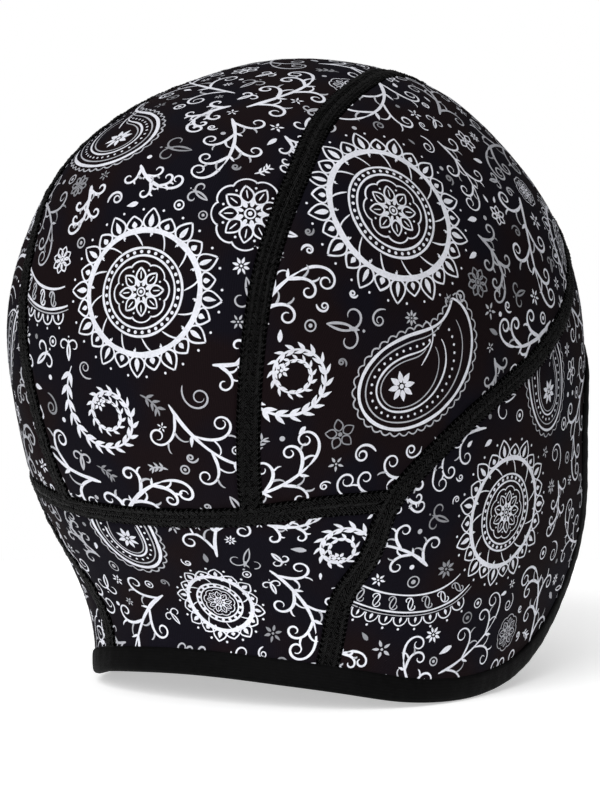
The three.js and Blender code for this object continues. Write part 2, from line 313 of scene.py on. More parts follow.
def polar(table):
    """Places of the flat map from a table of bearings and stations."""
    angles = np.radians(table["bearing"])
    station = np.asarray(table["station"], float)
    return np.stack([station * np.sin(angles), station * np.cos(angles)], axis=1)


# Middle lines of the seams on the wearer's right, the nape seam across the back, and the very edge
strip_line = trace(np.stack([STRIP_SEAM["aside"], STRIP_SEAM["along"]], axis=1))
nape_line = trace(np.concatenate([mirror(polar(NAPE_SEAM)[:0:-1]), polar(NAPE_SEAM)]))
ear_line = trace(polar(EAR_SEAM))
edge_line = trace(np.concatenate([polar(EDGE), mirror(polar(EDGE)[-2:0:-1])]), True)

# How far from a seam's middle line its band, the cloth under it and the print end
BAND_HALF = 3.6
CLOTH_HALF = 2.9
PRINT_HALF = 2.2
# How far up from the very edge the binding, the cloth in its fold and the print end
BINDING_HEIGHT = 7.6
CLOTH_UP = 1.6
PRINT_UP = 5.2
# How near to another seam's middle line, and to the very edge, a seam's band runs
BAND_STOP = 1.5
BAND_STOP_UP = 4.0
# How far before the end of a pointed panel its two long sides stop
TIP = 1.0

# A seam's band in section: across it as a share of its half width, and out from the cloth's outer face
SEAM_PROFILE = (
    (-1.0, -0.35), (-0.97, 0.1), (-0.86, 0.36), (-0.6, 0.5), (-0.3, 0.54), (0, 0.55),
    (0.3, 0.54), (0.6, 0.5), (0.86, 0.36), (0.97, 0.1), (1.0, -0.35),
)  # fmt: skip
SEAM_INSIDE = -1.85
# The band's slight rise and fall along the seam: share of its height, and radians per millimetre
BAND_WAVE = 0.06
BAND_WAVE_TURN = 3.1

# The binding's folded cloth in section: up from the very edge, and out from the cloth's outer face
BINDING_OUTSIDE = (
    (7.75, 0.1), (7.6, 0.42), (7.0, 0.74), (6.0, 0.9), (4.6, 0.97), (3.0, 0.98), (1.7, 0.9),
    (0.7, 0.62), (0.15, 0.1), (-0.05, -0.8), (0.15, -1.65), (0.7, -2.2), (1.7, -2.45),
    (3.6, -2.5), (5.6, -2.46), (7.0, -2.3), (7.6, -1.95),
)  # fmt: skip
BINDING_INSIDE = ((7.2, -1.7), (4.5, -1.75), (1.4, -1.7), (0.9, -0.8), (1.4, 0.0), (4.5, 0.05), (7.2, 0.0))
# Where the binding's outer face puffs a little: out further than this, by waves of height, turn and start
BINDING_FACE = 0.5
BINDING_PUFFS = ((0.05, 0.55, 0.0), (0.04, 1.31, 1.0))


class Lines:
    """The lines that end every piece, a set distance from the seams' middle lines and the very edge."""

    def __init__(self, half, up):
        self.strip_in, self.strip_out = both_sides(strip_line, half)
        self.nape_up, self.nape_down = both_sides(nape_line, half)
        self.ear_back, self.ear_front = both_sides(ear_line, half)
        self.edge = both_sides(edge_line, up, True)[0]
        middle = len(self.edge) // 2
        self.edge_round = np.concatenate([self.edge, self.edge[:1]])
        self.edge_back = np.concatenate([self.edge[middle:], self.edge[:middle]])


def shorten(path):
    """A line stopped a little before its end, where it would run into another one."""
    return stretch(path, 0, (len(path) - 1) * (1 - TIP / real_lengths(path)[-1]))


def tip(near, far):
    """The short line that closes a pointed panel."""
    return np.stack([near[-1], far[-1]])


def strip_sides(at):
    """The four lines round the centre strip: start, end, and its two long sides, as for each panel."""
    left = mirror(at.strip_in)
    right_side = between(at.strip_in, at.nape_up, at.edge_round)
    start = between(at.nape_up, left, at.strip_in)
    end = between(at.edge_round, left, at.strip_in)
    return start, end, mirror(right_side), right_side


def side_sides(at):
    """The four lines round a side panel, which runs out in a point."""
    start = between(at.nape_up, at.strip_out, at.ear_back)
    near = shorten(between(at.strip_out, at.nape_up, at.ear_back))
    far = shorten(between(at.ear_back, at.nape_up, at.strip_out))
    return start, tip(near, far), near, far


def ear_sides(at):
    """The four lines round an ear panel, from its front to its point at the back."""
    start = between(at.strip_out, at.edge_round, at.ear_front)[::-1]
    near = shorten(between(at.ear_front, at.strip_out, at.edge_round))
    far = shorten(between(at.edge_round, at.strip_out, at.ear_front))
    return start, tip(near, far), near, far


def nape_sides(at):
    """The four lines round the nape panel."""
    left = mirror(at.ear_back)
    right_side = between(at.ear_back, at.edge_back, at.nape_down)
    start = between(at.edge_back, left, at.ear_back)
    end = between(at.nape_down, left, at.ear_back)
    return start, end, mirror(right_side), right_side


# Panels: CAD node, the lines round it, and whether it is the wearer's left one of a pair
PANELS = {
    "crown_strip": (strip_sides, False),
    "side_panel_right": (side_sides, False),
    "side_panel_left": (side_sides, True),
    "ear_panel_right": (ear_sides, False),
    "ear_panel_left": (ear_sides, True),
    "nape_panel": (nape_sides, False),
}


def fill(start, end, near, far, across, along):
    """Rows of places that fill the space between four lines; start and end run across."""
    a = even(start, across)[None]
    b = even(end, across)[None]
    c = even(near, along)[:, None]
    d = even(far, along)[:, None]
    v = np.linspace(0, 1, along + 1)[:, None, None]
    u = np.linspace(0, 1, across + 1)[None, :, None]
    corners = a[:, :1] * (1 - u) * (1 - v) + a[:, -1:] * u * (1 - v)
    corners = corners + b[:, :1] * (1 - u) * v + b[:, -1:] * u * v
    return a * (1 - v) + b * v + c * (1 - u) + d * u - corners


def outline(sides):
    """The closed line round a panel, from its four lines."""
    start, end, near, far = sides
    return np.concatenate([near[::-1], start, far, end[::-1]])


def is_inside(places, loop):
    """Which places lie inside a closed line of the flat map."""
    inside = np.zeros(len(places), bool)
    x, y = places[:, 0], places[:, 1]
    for (x0, y0), (x1, y1) in zip(loop, np.roll(loop, -1, axis=0)):
        if y0 == y1:
            continue
        straddles = (y0 > y) != (y1 > y)
        inside ^= straddles & (x < (x1 - x0) * (y - y0) / (y1 - y0) + x0)
    return inside


class Relief:
    """Small rise and fall of stretched cloth: slack waves, and puckers that fade away from a seam."""

    # Grid over the flat map, in millimetres, and how many parts it is worked out in
    STEP = 1.5
    REACH = 255.0
    PARTS = 60
    # How far puckers reach from a seam, and the depth and reach of the dip beside it
    PUCKER_REACH = 4.5
    DIP = 0.30
    DIP_REACH = 2.6
    # How far one seam's puckers are shifted against the next one's
    SHIFT = 40.0

    def __init__(self, pucker, wave):
        count = int(2 * self.REACH / self.STEP) + 1
        ticks = np.linspace(-self.REACH, self.REACH, count)
        self.step = ticks[1] - ticks[0]
        grid = np.stack(np.meshgrid(ticks, ticks, indexing="ij"), axis=-1).reshape(-1, 2)
        inside = np.hypot(grid[:, 0], grid[:, 1]) < self.REACH
        points = outer_face(grid)
        seams = [strip_line, mirror(strip_line), ear_line, mirror(ear_line), nape_line]
        away = np.full(len(grid), FAR)
        along = np.zeros(len(grid))
        for k, line in enumerate(seams):
            thin = line[::2]
            spots = outer_face(thin)
            lengths = real_lengths(thin)
            for part in np.array_split(np.flatnonzero(inside), self.PARTS):
                gaps = np.linalg.norm(points[part, None] - spots[None], axis=2)
                nearest = gaps.argmin(1)
                distance = gaps[np.arange(len(part)), nearest]
                closer = distance < away[part]
                away[part[closer]] = distance[closer]
                along[part[closer]] = lengths[nearest[closer]] + self.SHIFT * k
        away = (away - BAND_HALF).clip(0)
        # Waves out of step with each other: radians per millimetre along a seam, and over the cloth
        # millimetres per radian
        ripple = np.sin(along * 0.93 + 1.3 * np.sin(along * 0.21)) + 0.6 * np.sin(along * 1.71 + 2.0)
        rise = pucker * np.exp(-((away / self.PUCKER_REACH) ** 2)) * ripple
        rise -= self.DIP * np.exp(-((away / self.DIP_REACH) ** 2))
        x, y, z = points.T
        slack = np.sin(x / 17 + y / 29 + 1.1) * np.cos(z / 21 - y / 37)
        rise += wave * (slack + 0.5 * np.sin(z / 9 + x / 13 + y / 15))
        self.rise = rise.reshape(count, count)

    def at(self, places):
        """The rise at places of the flat map, in millimetres."""
        f = (places + self.REACH) / self.step
        i = np.clip(f.astype(int), 0, len(self.rise) - 2)
        s, t = (f - i).T
        i, j = i.T
        r = self.rise
        near = r[i, j] * (1 - s) * (1 - t) + r[i + 1, j] * s * (1 - t)
        return near + r[i, j + 1] * (1 - s) * t + r[i + 1, j + 1] * s * t


# What is made once and used again: the relief and the materials
made = {}


def relief():
    """The cloth's relief, made when it is first asked for."""
    if "relief" not in made:
        sizes = bpy.context.scene.cap_sizes
        made["relief"] = Relief(sizes.pucker / MM, sizes.wave / MM)
    return made["relief"]


def lift(places, out, follow=True):
    """Points over the flat map's places, out from the outer face by out millimetres."""
    normal = tangents(places)[2]
    out = np.broadcast_to(np.asarray(out, float), (len(places),))
    if follow:
        out = out + relief().at(places)
    return outer_face(places) + normal * out[:, None]


def new_piece(name, points, faces, materials, uvs=None, material_index=None):
    """A mesh piece in the row's frame from millimetre points; uvs are per point, in metres."""
    mesh = bpy.data.meshes.new(name)
    mesh.from_pydata((points * MM).tolist(), [], faces)
    for item in materials:
        mesh.materials.append(item)
    if uvs is not None:
        layer = mesh.uv_layers.new(name="cut_cloth")
        corners = np.zeros(len(mesh.loops), int)
        mesh.loops.foreach_get("vertex_index", corners)
        layer.data.foreach_set("uv", (uvs[corners] * MM).astype(np.float32).ravel())
    if material_index is not None:
        mesh.polygons.foreach_set("material_index", np.asarray(material_index, np.int32))
    mesh.polygons.foreach_set("use_smooth", np.full(len(mesh.polygons), True))
    mesh.validate()
    mesh.update()
    piece = bpy.data.objects.new(name, mesh)
    bpy.context.scene.collection.objects.link(piece)
    return piece


def wall_faces(along, across):
    """Faces of a closed wall over a grid: outer, inner, then the rim; inner points follow the outer."""
    rows, columns = np.meshgrid(np.arange(along - 1), np.arange(across - 1), indexing="ij")
    a = (rows * across + columns).ravel()
    outer = np.stack([a, a + 1, a + across + 1, a + across], axis=1)
    inside = along * across
    inner = outer[:, ::-1] + inside
    ring = np.concatenate(
        [
            np.arange(across - 1),
            np.arange(along - 1) * across + across - 1,
            (along - 1) * across + np.arange(across - 1, 0, -1),
            np.arange(along - 1, 0, -1) * across,
        ]
    )
    after = np.roll(ring, -1)
    rim = np.stack([ring, ring + inside, after + inside, after], axis=1)
    return outer, inner, rim


def facing_out(points, faces):
    """Faces turned so that they point out of the closed shape."""
    tri = [(f[0], f[i], f[i + 1]) for f in faces for i in range(1, len(f) - 1)]
    a, b, c = (points[list(k)] for k in zip(*tri))
    return faces if (a * np.cross(b, c)).sum() > 0 else [tuple(reversed(f)) for f in faces]


def cloth_panel(name, sides, left, cell, materials):
    """A closed cloth wall between four lines, smooth outside and fleecy inside."""
    start, end, near, far = sides
    along = max(2, round(max(real_lengths(near)[-1], real_lengths(far)[-1]) / cell))
    opposite = even(far, along)
    widths = np.linalg.norm(outer_face(even(near, along)) - outer_face(opposite), axis=1)
    across = max(2, round(widths.max() / cell))
    rows = fill(start, end, near, far, across, along)
    if left:
        rows = mirror(rows)
    flat = rows.reshape(-1, 2)
    outside = lift(flat, 0.0)
    points = np.concatenate([outside, lift(flat, -WALL)])
    outer, inner, rim = wall_faces(along + 1, across + 1)
    faces = facing_out(points, [tuple(f) for f in np.concatenate([outer, inner, rim]).tolist()])
    index = [0] * len(outer) + [1] * (len(inner) + len(rim))
    grid = outside.reshape(along + 1, across + 1, 3)
    middle = grid[:, across // 2]
    v = np.concatenate([[0], np.cumsum(np.linalg.norm(np.diff(middle, axis=0), axis=1))])
    u = np.concatenate(
        [np.zeros((along + 1, 1)), np.cumsum(np.linalg.norm(np.diff(grid, axis=1), axis=2), axis=1)], axis=1
    )
    u -= u[:, across // 2][:, None]
    uv = np.stack([u, np.broadcast_to(v[:, None], u.shape)], axis=-1).reshape(-1, 2)
    return new_piece(name, points, faces, materials, np.concatenate([uv, uv]), index)


class SeamPath:
    """A seam between its two edges: places from a share along it and millimetres across it."""

    STEPS = 600

    def __init__(self, near, far, half, left):
        self.near = even(near, self.STEPS)
        self.far = even(far, self.STEPS)
        if left:
            self.near, self.far = mirror(self.near), mirror(self.far)
        self.half = half
        self.length = real_lengths((self.near + self.far) / 2)[-1]

    def places(self, along, across):
        """Places of the flat map for millimetres along the seam and across it."""
        share = np.clip(along / self.length, 0, 1) * self.STEPS
        i = np.minimum(share.astype(int), self.STEPS - 1)
        t = (share - i)[:, None]
        near = self.near[i] * (1 - t) + self.near[i + 1] * t
        far = self.far[i] * (1 - t) + self.far[i + 1] * t
        side = ((across / self.half + 1) / 2)[:, None]
        return near * (1 - side) + far * side


def seam_paths():
    """Every seam by its CAD node, from lines that lie BAND_HALF each side of its middle."""
    band = Lines(BAND_HALF, CLOTH_UP)
    stop = Lines(BAND_STOP, BAND_STOP_UP)
    strip = [between(line, stop.nape_up, stop.edge_round) for line in (band.strip_in, band.strip_out)]
    ear = [between(line, stop.edge_round, stop.strip_out) for line in (band.ear_back, band.ear_front)]
    ends = (mirror(stop.ear_back), stop.ear_back)
    nape = [between(line, *ends) for line in (band.nape_up, band.nape_down)]
    return {
        "seam_strip_right": SeamPath(*strip, BAND_HALF, False),
        "seam_strip_left": SeamPath(*strip, BAND_HALF, True),
        "seam_ear_right": SeamPath(*ear, BAND_HALF, False),
        "seam_ear_left": SeamPath(*ear, BAND_HALF, True),
        "seam_nape": SeamPath(*nape, BAND_HALF, False),
    }


def seam_band(path, cell):
    """Points, faces and uvs of a seam's cloth band, thicker than the cloth both ways."""
    along = max(2, round(path.length / cell))
    s = np.linspace(0, path.length, along + 1)
    profile = np.array(SEAM_PROFILE)
    count = len(profile)
    grid_s = np.repeat(s, count)
    grid_a = np.tile(profile[:, 0] * path.half, along + 1)
    places = path.places(grid_s, grid_a)
    wave = 1 + BAND_WAVE * np.sin(grid_s * BAND_WAVE_TURN)
    outside = lift(places, np.tile(profile[:, 1], along + 1) * wave)
    inside = lift(places, SEAM_INSIDE)
    points = np.concatenate([outside, inside])
    outer, inner, rim = wall_faces(along + 1, count)
    faces = facing_out(points, [tuple(f) for f in np.concatenate([outer, inner, rim]).tolist()])
    uv = np.stack([grid_a, grid_s], axis=1)
    return points, faces, np.concatenate([uv, uv])


def deselect():
    """Nothing selected, and out of edit mode."""
    if bpy.context.object and bpy.context.object.mode != "OBJECT":
        bpy.ops.object.mode_set(mode="OBJECT")
    bpy.ops.object.select_all(action="DESELECT")


# Needle rows of a flat seam and how far its edge threads reach, in millimetres from its middle
NEEDLE_ROWS = (-2.65, -0.9, 0.9, 2.65)
EDGE_REACH = 3.5
# Shares of the stitch pitch: length of a needle stitch, of a cross thread and of an edge thread
NEEDLE_STITCH = 0.8
CROSS_LEAN = 1.35
EDGE_STITCH = 0.55
# Where the first and last stitches lie, and how far into a row the cross and edge threads begin
FIRST_STITCH, LAST_STITCH = 0.6, 1.2
CROSS_START, EDGE_START = 0.3, 0.1
# Millimetres: gap between a cross thread and its needle rows, and heights of the threads over each other
CROSS_GAP = 0.15
NEEDLE_HEIGHT, LOWER_CROSS, EDGE_HEIGHT = 0.05, -0.02, -0.1
# Unevenness of the stitches: along and up in millimetres, and thickness as shares
SLIP, SLIP_UP = 0.07, 0.045
THREAD_SEEDS = (7, 11)
# Slips are drawn for so many rows: the needle rows take the first, then these and the rest
SLIP_ROWS, CROSS_SLIPS, EDGE_SLIPS = 16, 4, 9
THINNEST, THICKEST = 0.8, 1.2
# A stitch's drawn-in ends, how high its middle stands, how far it arches down, and how flat it is pressed
STITCH_ENDS = (0.62, 0.62, 0.78)
STITCH_RISE, STITCH_ARCH, STITCH_FLATNESS = 0.14, 0.18, 0.85


def is_on_rim(place):
    """Whether a corner of the stitch lies on the rim of one of its ends."""
    return abs(place.z) > 0.9 and place.xy.length > 0.5


def stitch_shape():
    """Points and faces of one stitch: a thread with drawn-in ends, one in radius and in half length."""
    deselect()
    bpy.ops.mesh.primitive_cylinder_add(vertices=5, radius=1, depth=2, end_fill_type="TRIFAN")
    thread = bpy.context.object
    bpy.ops.object.mode_set(mode="EDIT")
    bpy.ops.mesh.select_all(action="SELECT")
    bpy.ops.mesh.bisect(plane_co=(0, 0, 0), plane_no=(0, 0, 1))
    bpy.ops.object.mode_set(mode="OBJECT")
    for corner in thread.data.vertices:
        corner.select = is_on_rim(corner.co)
    bpy.ops.object.mode_set(mode="EDIT")
    bpy.ops.transform.resize(value=STITCH_ENDS)
    bpy.ops.object.mode_set(mode="OBJECT")
    points = np.array([tuple(v.co) for v in thread.data.vertices])
    faces = [tuple(f.vertices) for f in thread.data.polygons]
    mesh = thread.data
    bpy.data.objects.remove(thread)
    bpy.data.meshes.remove(mesh)
    return points, faces


def stitches_on(path, pitch, radius):
    """Rows of (along, across, along, across, height) for every stitch of a four-needle flat seam."""
    starts = np.arange(FIRST_STITCH * pitch, path.length - LAST_STITCH * pitch, pitch)
    slips = np.random.default_rng(THREAD_SEEDS[0]).normal(0, SLIP, (len(starts), SLIP_ROWS)).T
    stitches = []

    def sew(start, a, b, reach, height):
        """Adds stitches from a to b across the seam, a reach long in stitches."""
        blank = 0 * start
        end = start + reach * pitch
        stitches.append(np.stack([start, a + blank, end, b + blank, height + blank], axis=1))

    for row, slip in zip(NEEDLE_ROWS, slips):
        sew(starts + slip, row, row, NEEDLE_STITCH, NEEDLE_HEIGHT)
    for k, (a, b, slip) in enumerate(zip(NEEDLE_ROWS, NEEDLE_ROWS[1:], slips[CROSS_SLIPS:])):
        lean = -CROSS_LEAN if k == 1 else CROSS_LEAN
        start = starts + CROSS_START * pitch + slip
        sew(start, a + CROSS_GAP, b - CROSS_GAP, lean, 0)
        sew(start + 0.5 * pitch, a + CROSS_GAP, b - CROSS_GAP, lean, LOWER_CROSS)
    for side, slip in zip((-1, 1), slips[EDGE_SLIPS:]):
        start = starts + EDGE_START * pitch + slip
        sew(start, side * NEEDLE_ROWS[-1], side * EDGE_REACH, EDGE_STITCH, EDGE_HEIGHT)
    rows = np.concatenate(stitches)
    rng = np.random.default_rng(THREAD_SEEDS[1])
    rows[:, 4] += rng.normal(0, SLIP_UP, len(rows))
    return rows, radius * rng.uniform(THINNEST, THICKEST, len(rows))


def thread_mesh(path, pitch, radius):
    """Points and faces of a seam's stitches, each a copy of the one stitch bent onto the band."""
    unit_points, unit_faces = stitch_shape()
    rows, radii = stitches_on(path, pitch, radius)
    x = unit_points[:, 2][None]
    y = unit_points[:, 0][None] * radii[:, None]
    z = unit_points[:, 1][None] * radii[:, None]
    start, end = rows[:, 0:2], rows[:, 2:4]
    middle = (start + end) / 2
    reach = (end - start) / 2
    across = unit(reach)[:, ::-1] * np.array([1.0, -1.0])
    along = middle[:, 0:1] + reach[:, 0:1] * x + across[:, 0:1] * y
    over = middle[:, 1:2] + reach[:, 1:2] * x + across[:, 1:2] * y
    profile = np.array(SEAM_PROFILE)
    base = np.interp(middle[:, 1] / path.half, profile[:, 0], profile[:, 1])
    height = (base + rows[:, 4])[:, None] + STITCH_RISE - STITCH_ARCH * x**2 + z * STITCH_FLATNESS
    places = path.places(along.ravel(), over.ravel())
    points = lift(places, height.ravel())
    count = len(unit_points)
    faces = [tuple(i + count * k for i in face) for k in range(len(rows)) for face in unit_faces]
    uv = np.stack([np.broadcast_to(y, along.shape).ravel(), along.ravel()], axis=1)
    return points, faces, uv


def binding_mesh(step):
    """Points, faces and uvs of the binding: folded cloth carried once round the very edge."""
    edge = np.concatenate([edge_line, edge_line[:1]])
    count = round(real_lengths(edge)[-1] / step)
    ring = even(edge, count)[:-1]
    lengths = real_lengths(even(edge, count))[:-1]
    section = np.array(BINDING_OUTSIDE + BINDING_INSIDE)
    lines = {up: aside(ring, up, True) for up in set(section[:, 0])}
    if np.hypot(*lines[BINDING_HEIGHT][0]) > np.hypot(*ring[0]):
        raise ValueError("the binding's section points away from the crown")
    puff = sum(height * np.sin(lengths * turn + start) for height, turn, start in BINDING_PUFFS)
    columns = [lift(lines[up], out + puff * (out > BINDING_FACE), follow=False) for up, out in section]
    points = np.stack(columns, axis=1).reshape(-1, 3)
    n = len(section)
    k = np.repeat(np.arange(count), n)
    i = np.tile(np.arange(n), count)
    after_k = (k + 1) % count
    after_i = (i + 1) % n
    quads = np.stack([k * n + i, k * n + after_i, after_k * n + after_i, after_k * n + i], axis=1)
    faces = facing_out(points, [tuple(f) for f in quads.tolist()])
    girth = np.concatenate([[0], np.cumsum(np.hypot(*np.diff(section, axis=0).T))])
    uv = np.stack([girth[i], lengths[k]], axis=1)
    return points, faces, uv


# Materials: node groups that several cloths share, then the cloths' own finishes
def socket(group, name, kind, default=None, inside=True):
    """A named input or output of a node group."""
    way = "INPUT" if inside else "OUTPUT"
    made_socket = group.interface.new_socket(name=name, in_out=way, socket_type=kind)
    if default is not None:
        made_socket.default_value = default


def maths(nodes, links, operation, *values):
    """The output of a Math node that takes numbers and other nodes' outputs."""
    node = nodes.new("ShaderNodeMath")
    node.operation = operation
    for slot, value in zip(node.inputs, values):
        if isinstance(value, (int, float)):
            slot.default_value = value
        else:
            links.new(value, slot)
    return node.outputs[0]


def new_node(nodes, kind, values):
    """A node with some of its inputs set."""
    node = nodes.new(kind)
    for name, value in values.items():
        node.inputs[name].default_value = value
    return node


def knit_group():
    """Loops of knitted cloth: Height for a bump, and a factor for the colour by height: painted shade, darker
    between the loops, and painted light, lighter on their tops.
    """
    if "Knit loops" in bpy.data.node_groups:
        return bpy.data.node_groups["Knit loops"]
    group = bpy.data.node_groups.new("Knit loops", "ShaderNodeTree")
    socket(group, "Vector", "NodeSocketVector")
    socket(group, "Wales per metre", "NodeSocketFloat", 1400.0)
    socket(group, "Courses per metre", "NodeSocketFloat", 1800.0)
    socket(group, "Height", "NodeSocketFloat", inside=False)
    socket(group, "Shade", "NodeSocketFloat", inside=False)
    nodes, links = group.nodes, group.links
    start = nodes.new("NodeGroupInput")
    end = nodes.new("NodeGroupOutput")
    split = nodes.new("ShaderNodeSeparateXYZ")
    links.new(start.outputs["Vector"], split.inputs[0])
    u = maths(nodes, links, "MULTIPLY", split.outputs["X"], start.outputs["Wales per metre"])
    v = maths(nodes, links, "MULTIPLY", split.outputs["Y"], start.outputs["Courses per metre"])
    wale = maths(nodes, links, "PINGPONG", u, 0.5)
    lean = maths(nodes, links, "MULTIPLY", wale, LOOP_LEAN)
    loop = maths(nodes, links, "ADD", v, lean)
    turn = maths(nodes, links, "MULTIPLY", loop, TAU)
    wave = maths(nodes, links, "SINE", turn)
    ridge = maths(nodes, links, "MULTIPLY", wale, WALE_RIDGE)
    height = maths(nodes, links, "MULTIPLY_ADD", wave, LOOP_WAVE, ridge)
    links.new(height, end.inputs["Height"])
    shade = new_node(nodes, "ShaderNodeMapRange", LOOP_PAINTED_SHADE)
    links.new(height, shade.inputs["Value"])
    links.new(shade.outputs[0], end.inputs["Shade"])
    return group


def wear_and_glint_group():
    """Cloudy change of tone over cloth: lint and handling, as a factor near one; turned up strong on the seam
    thread, it also paints highlight specks.
    """
    if "Cloth tone" in bpy.data.node_groups:
        return bpy.data.node_groups["Cloth tone"]
    group = bpy.data.node_groups.new("Cloth tone", "ShaderNodeTree")
    socket(group, "Vector", "NodeSocketVector")
    socket(group, "Patch scale", "NodeSocketFloat", 60.0)
    socket(group, "Grain scale", "NodeSocketFloat", 1500.0)
    socket(group, "Amount", "NodeSocketFloat", 0.3)
    socket(group, "Tone", "NodeSocketFloat", inside=False)
    socket(group, "Grain", "NodeSocketFloat", inside=False)
    nodes, links = group.nodes, group.links
    start = nodes.new("NodeGroupInput")
    end = nodes.new("NodeGroupOutput")
    patch = new_node(nodes, "ShaderNodeTexNoise", {"Detail": 4})
    links.new(start.outputs["Vector"], patch.inputs["Vector"])
    links.new(start.outputs["Patch scale"], patch.inputs["Scale"])
    grain = new_node(nodes, "ShaderNodeTexNoise", {"Detail": 2})
    links.new(start.outputs["Vector"], grain.inputs["Vector"])
    links.new(start.outputs["Grain scale"], grain.inputs["Scale"])
    both = maths(nodes, links, "ADD", patch.outputs[0], grain.outputs[0])
    centred = maths(nodes, links, "SUBTRACT", both, 1.0)
    scaled = maths(nodes, links, "MULTIPLY", centred, start.outputs["Amount"])
    tone = maths(nodes, links, "ADD", scaled, 1.0)
    links.new(tone, end.inputs["Tone"])
    links.new(grain.outputs[0], end.inputs["Grain"])
    return group


# Shape of a knitted loop: slant of its legs, height of a wale's ridge, wave along it, and painted shade by
# height
LOOP_LEAN, WALE_RIDGE, LOOP_WAVE = 1.4, 1.6, 0.25
# The colour is painted darker low between the loops and lighter on their tops: painted shade and painted
# light
LOOP_PAINTED_SHADE = {"From Min": -0.2, "From Max": 0.9, "To Min": 0.7, "To Max": 1.15}
# Clouds of the cooler ground, the edge between them and the warmer one, and the grain's share of the relief
CLOUDS = {"Scale": 34.0, "Detail": 1.0}
CLOUD_EDGE = {"From Min": 0.42, "From Max": 0.58}
GRAIN_SHARE = 0.6
# Roughness follows the tone, this much to each side
TONE_RANGE = {"From Min": 0.7, "From Max": 1.3}
ROUGHNESS_SPREAD = 0.07
SHEEN_ROUGHNESS = 0.45
BUMP_STRENGTH = 0.6

# Finishes: colour by its name in the settings; sheen and its tint; knit as wales and courses per metre;
# height of the relief in metres; change of tone and its patches per metre; shine; and a colour for clouds
FINISHES = {
    "printed_cloth": {
        "colour": "cloth", "other": "cloth_cool", "roughness": 0.85, "sheen": 0.006,
        "sheen_tint": (0.75, 0.6, 0.7), "knit": (1500.0, 1900.0), "shine": 0.04,
    },
    "fleece": {
        "colour": "fleece", "roughness": 0.92, "sheen": 0.2, "sheen_tint": (0.6, 0.58, 0.62), "bump": 0.0004,
        "amount": 0.5, "patch": 220.0,
    },
    # The seam's cloth is black cloth painted darker still: painted shade in the gaps between the stitches
    "seam_cloth": {
        "colour": "seam", "roughness": 0.85, "sheen": 0.004, "sheen_tint": (0.6, 0.6, 0.6),
        "knit": (2400.0, 1250.0), "shine": 0.0,
    },
    # The thread's strong change of tone is partly random and partly painted highlight specks on its stitches
    "seam_thread": {
        "colour": "thread", "roughness": 0.34, "sheen": 0.004, "sheen_tint": (0.8, 0.8, 0.8), "bump": 0.00005,
        "amount": 3.0, "patch": 900.0, "shine": 0.16,
    },
    "binding_cloth": {
        "colour": "binding", "roughness": 0.7, "sheen": 0.006, "sheen_tint": (0.8, 0.8, 0.8),
        "knit": (1100.0, 2600.0), "amount": 1.6, "patch": 420.0, "shine": 0.04,
    },
    "print_ink": {
        "colour": "ink", "roughness": 0.8, "sheen": 0.01, "sheen_tint": (1.0, 1.0, 1.0), "bump": 0.00005,
        "amount": 0.4, "patch": 140.0,
    },
}  # fmt: skip
# The ink's tones, from full to faint, with the names of their materials
INKS = (("print_ink", 1.0), ("print_ink_soft", 0.6), ("print_ink_faint", 0.34))


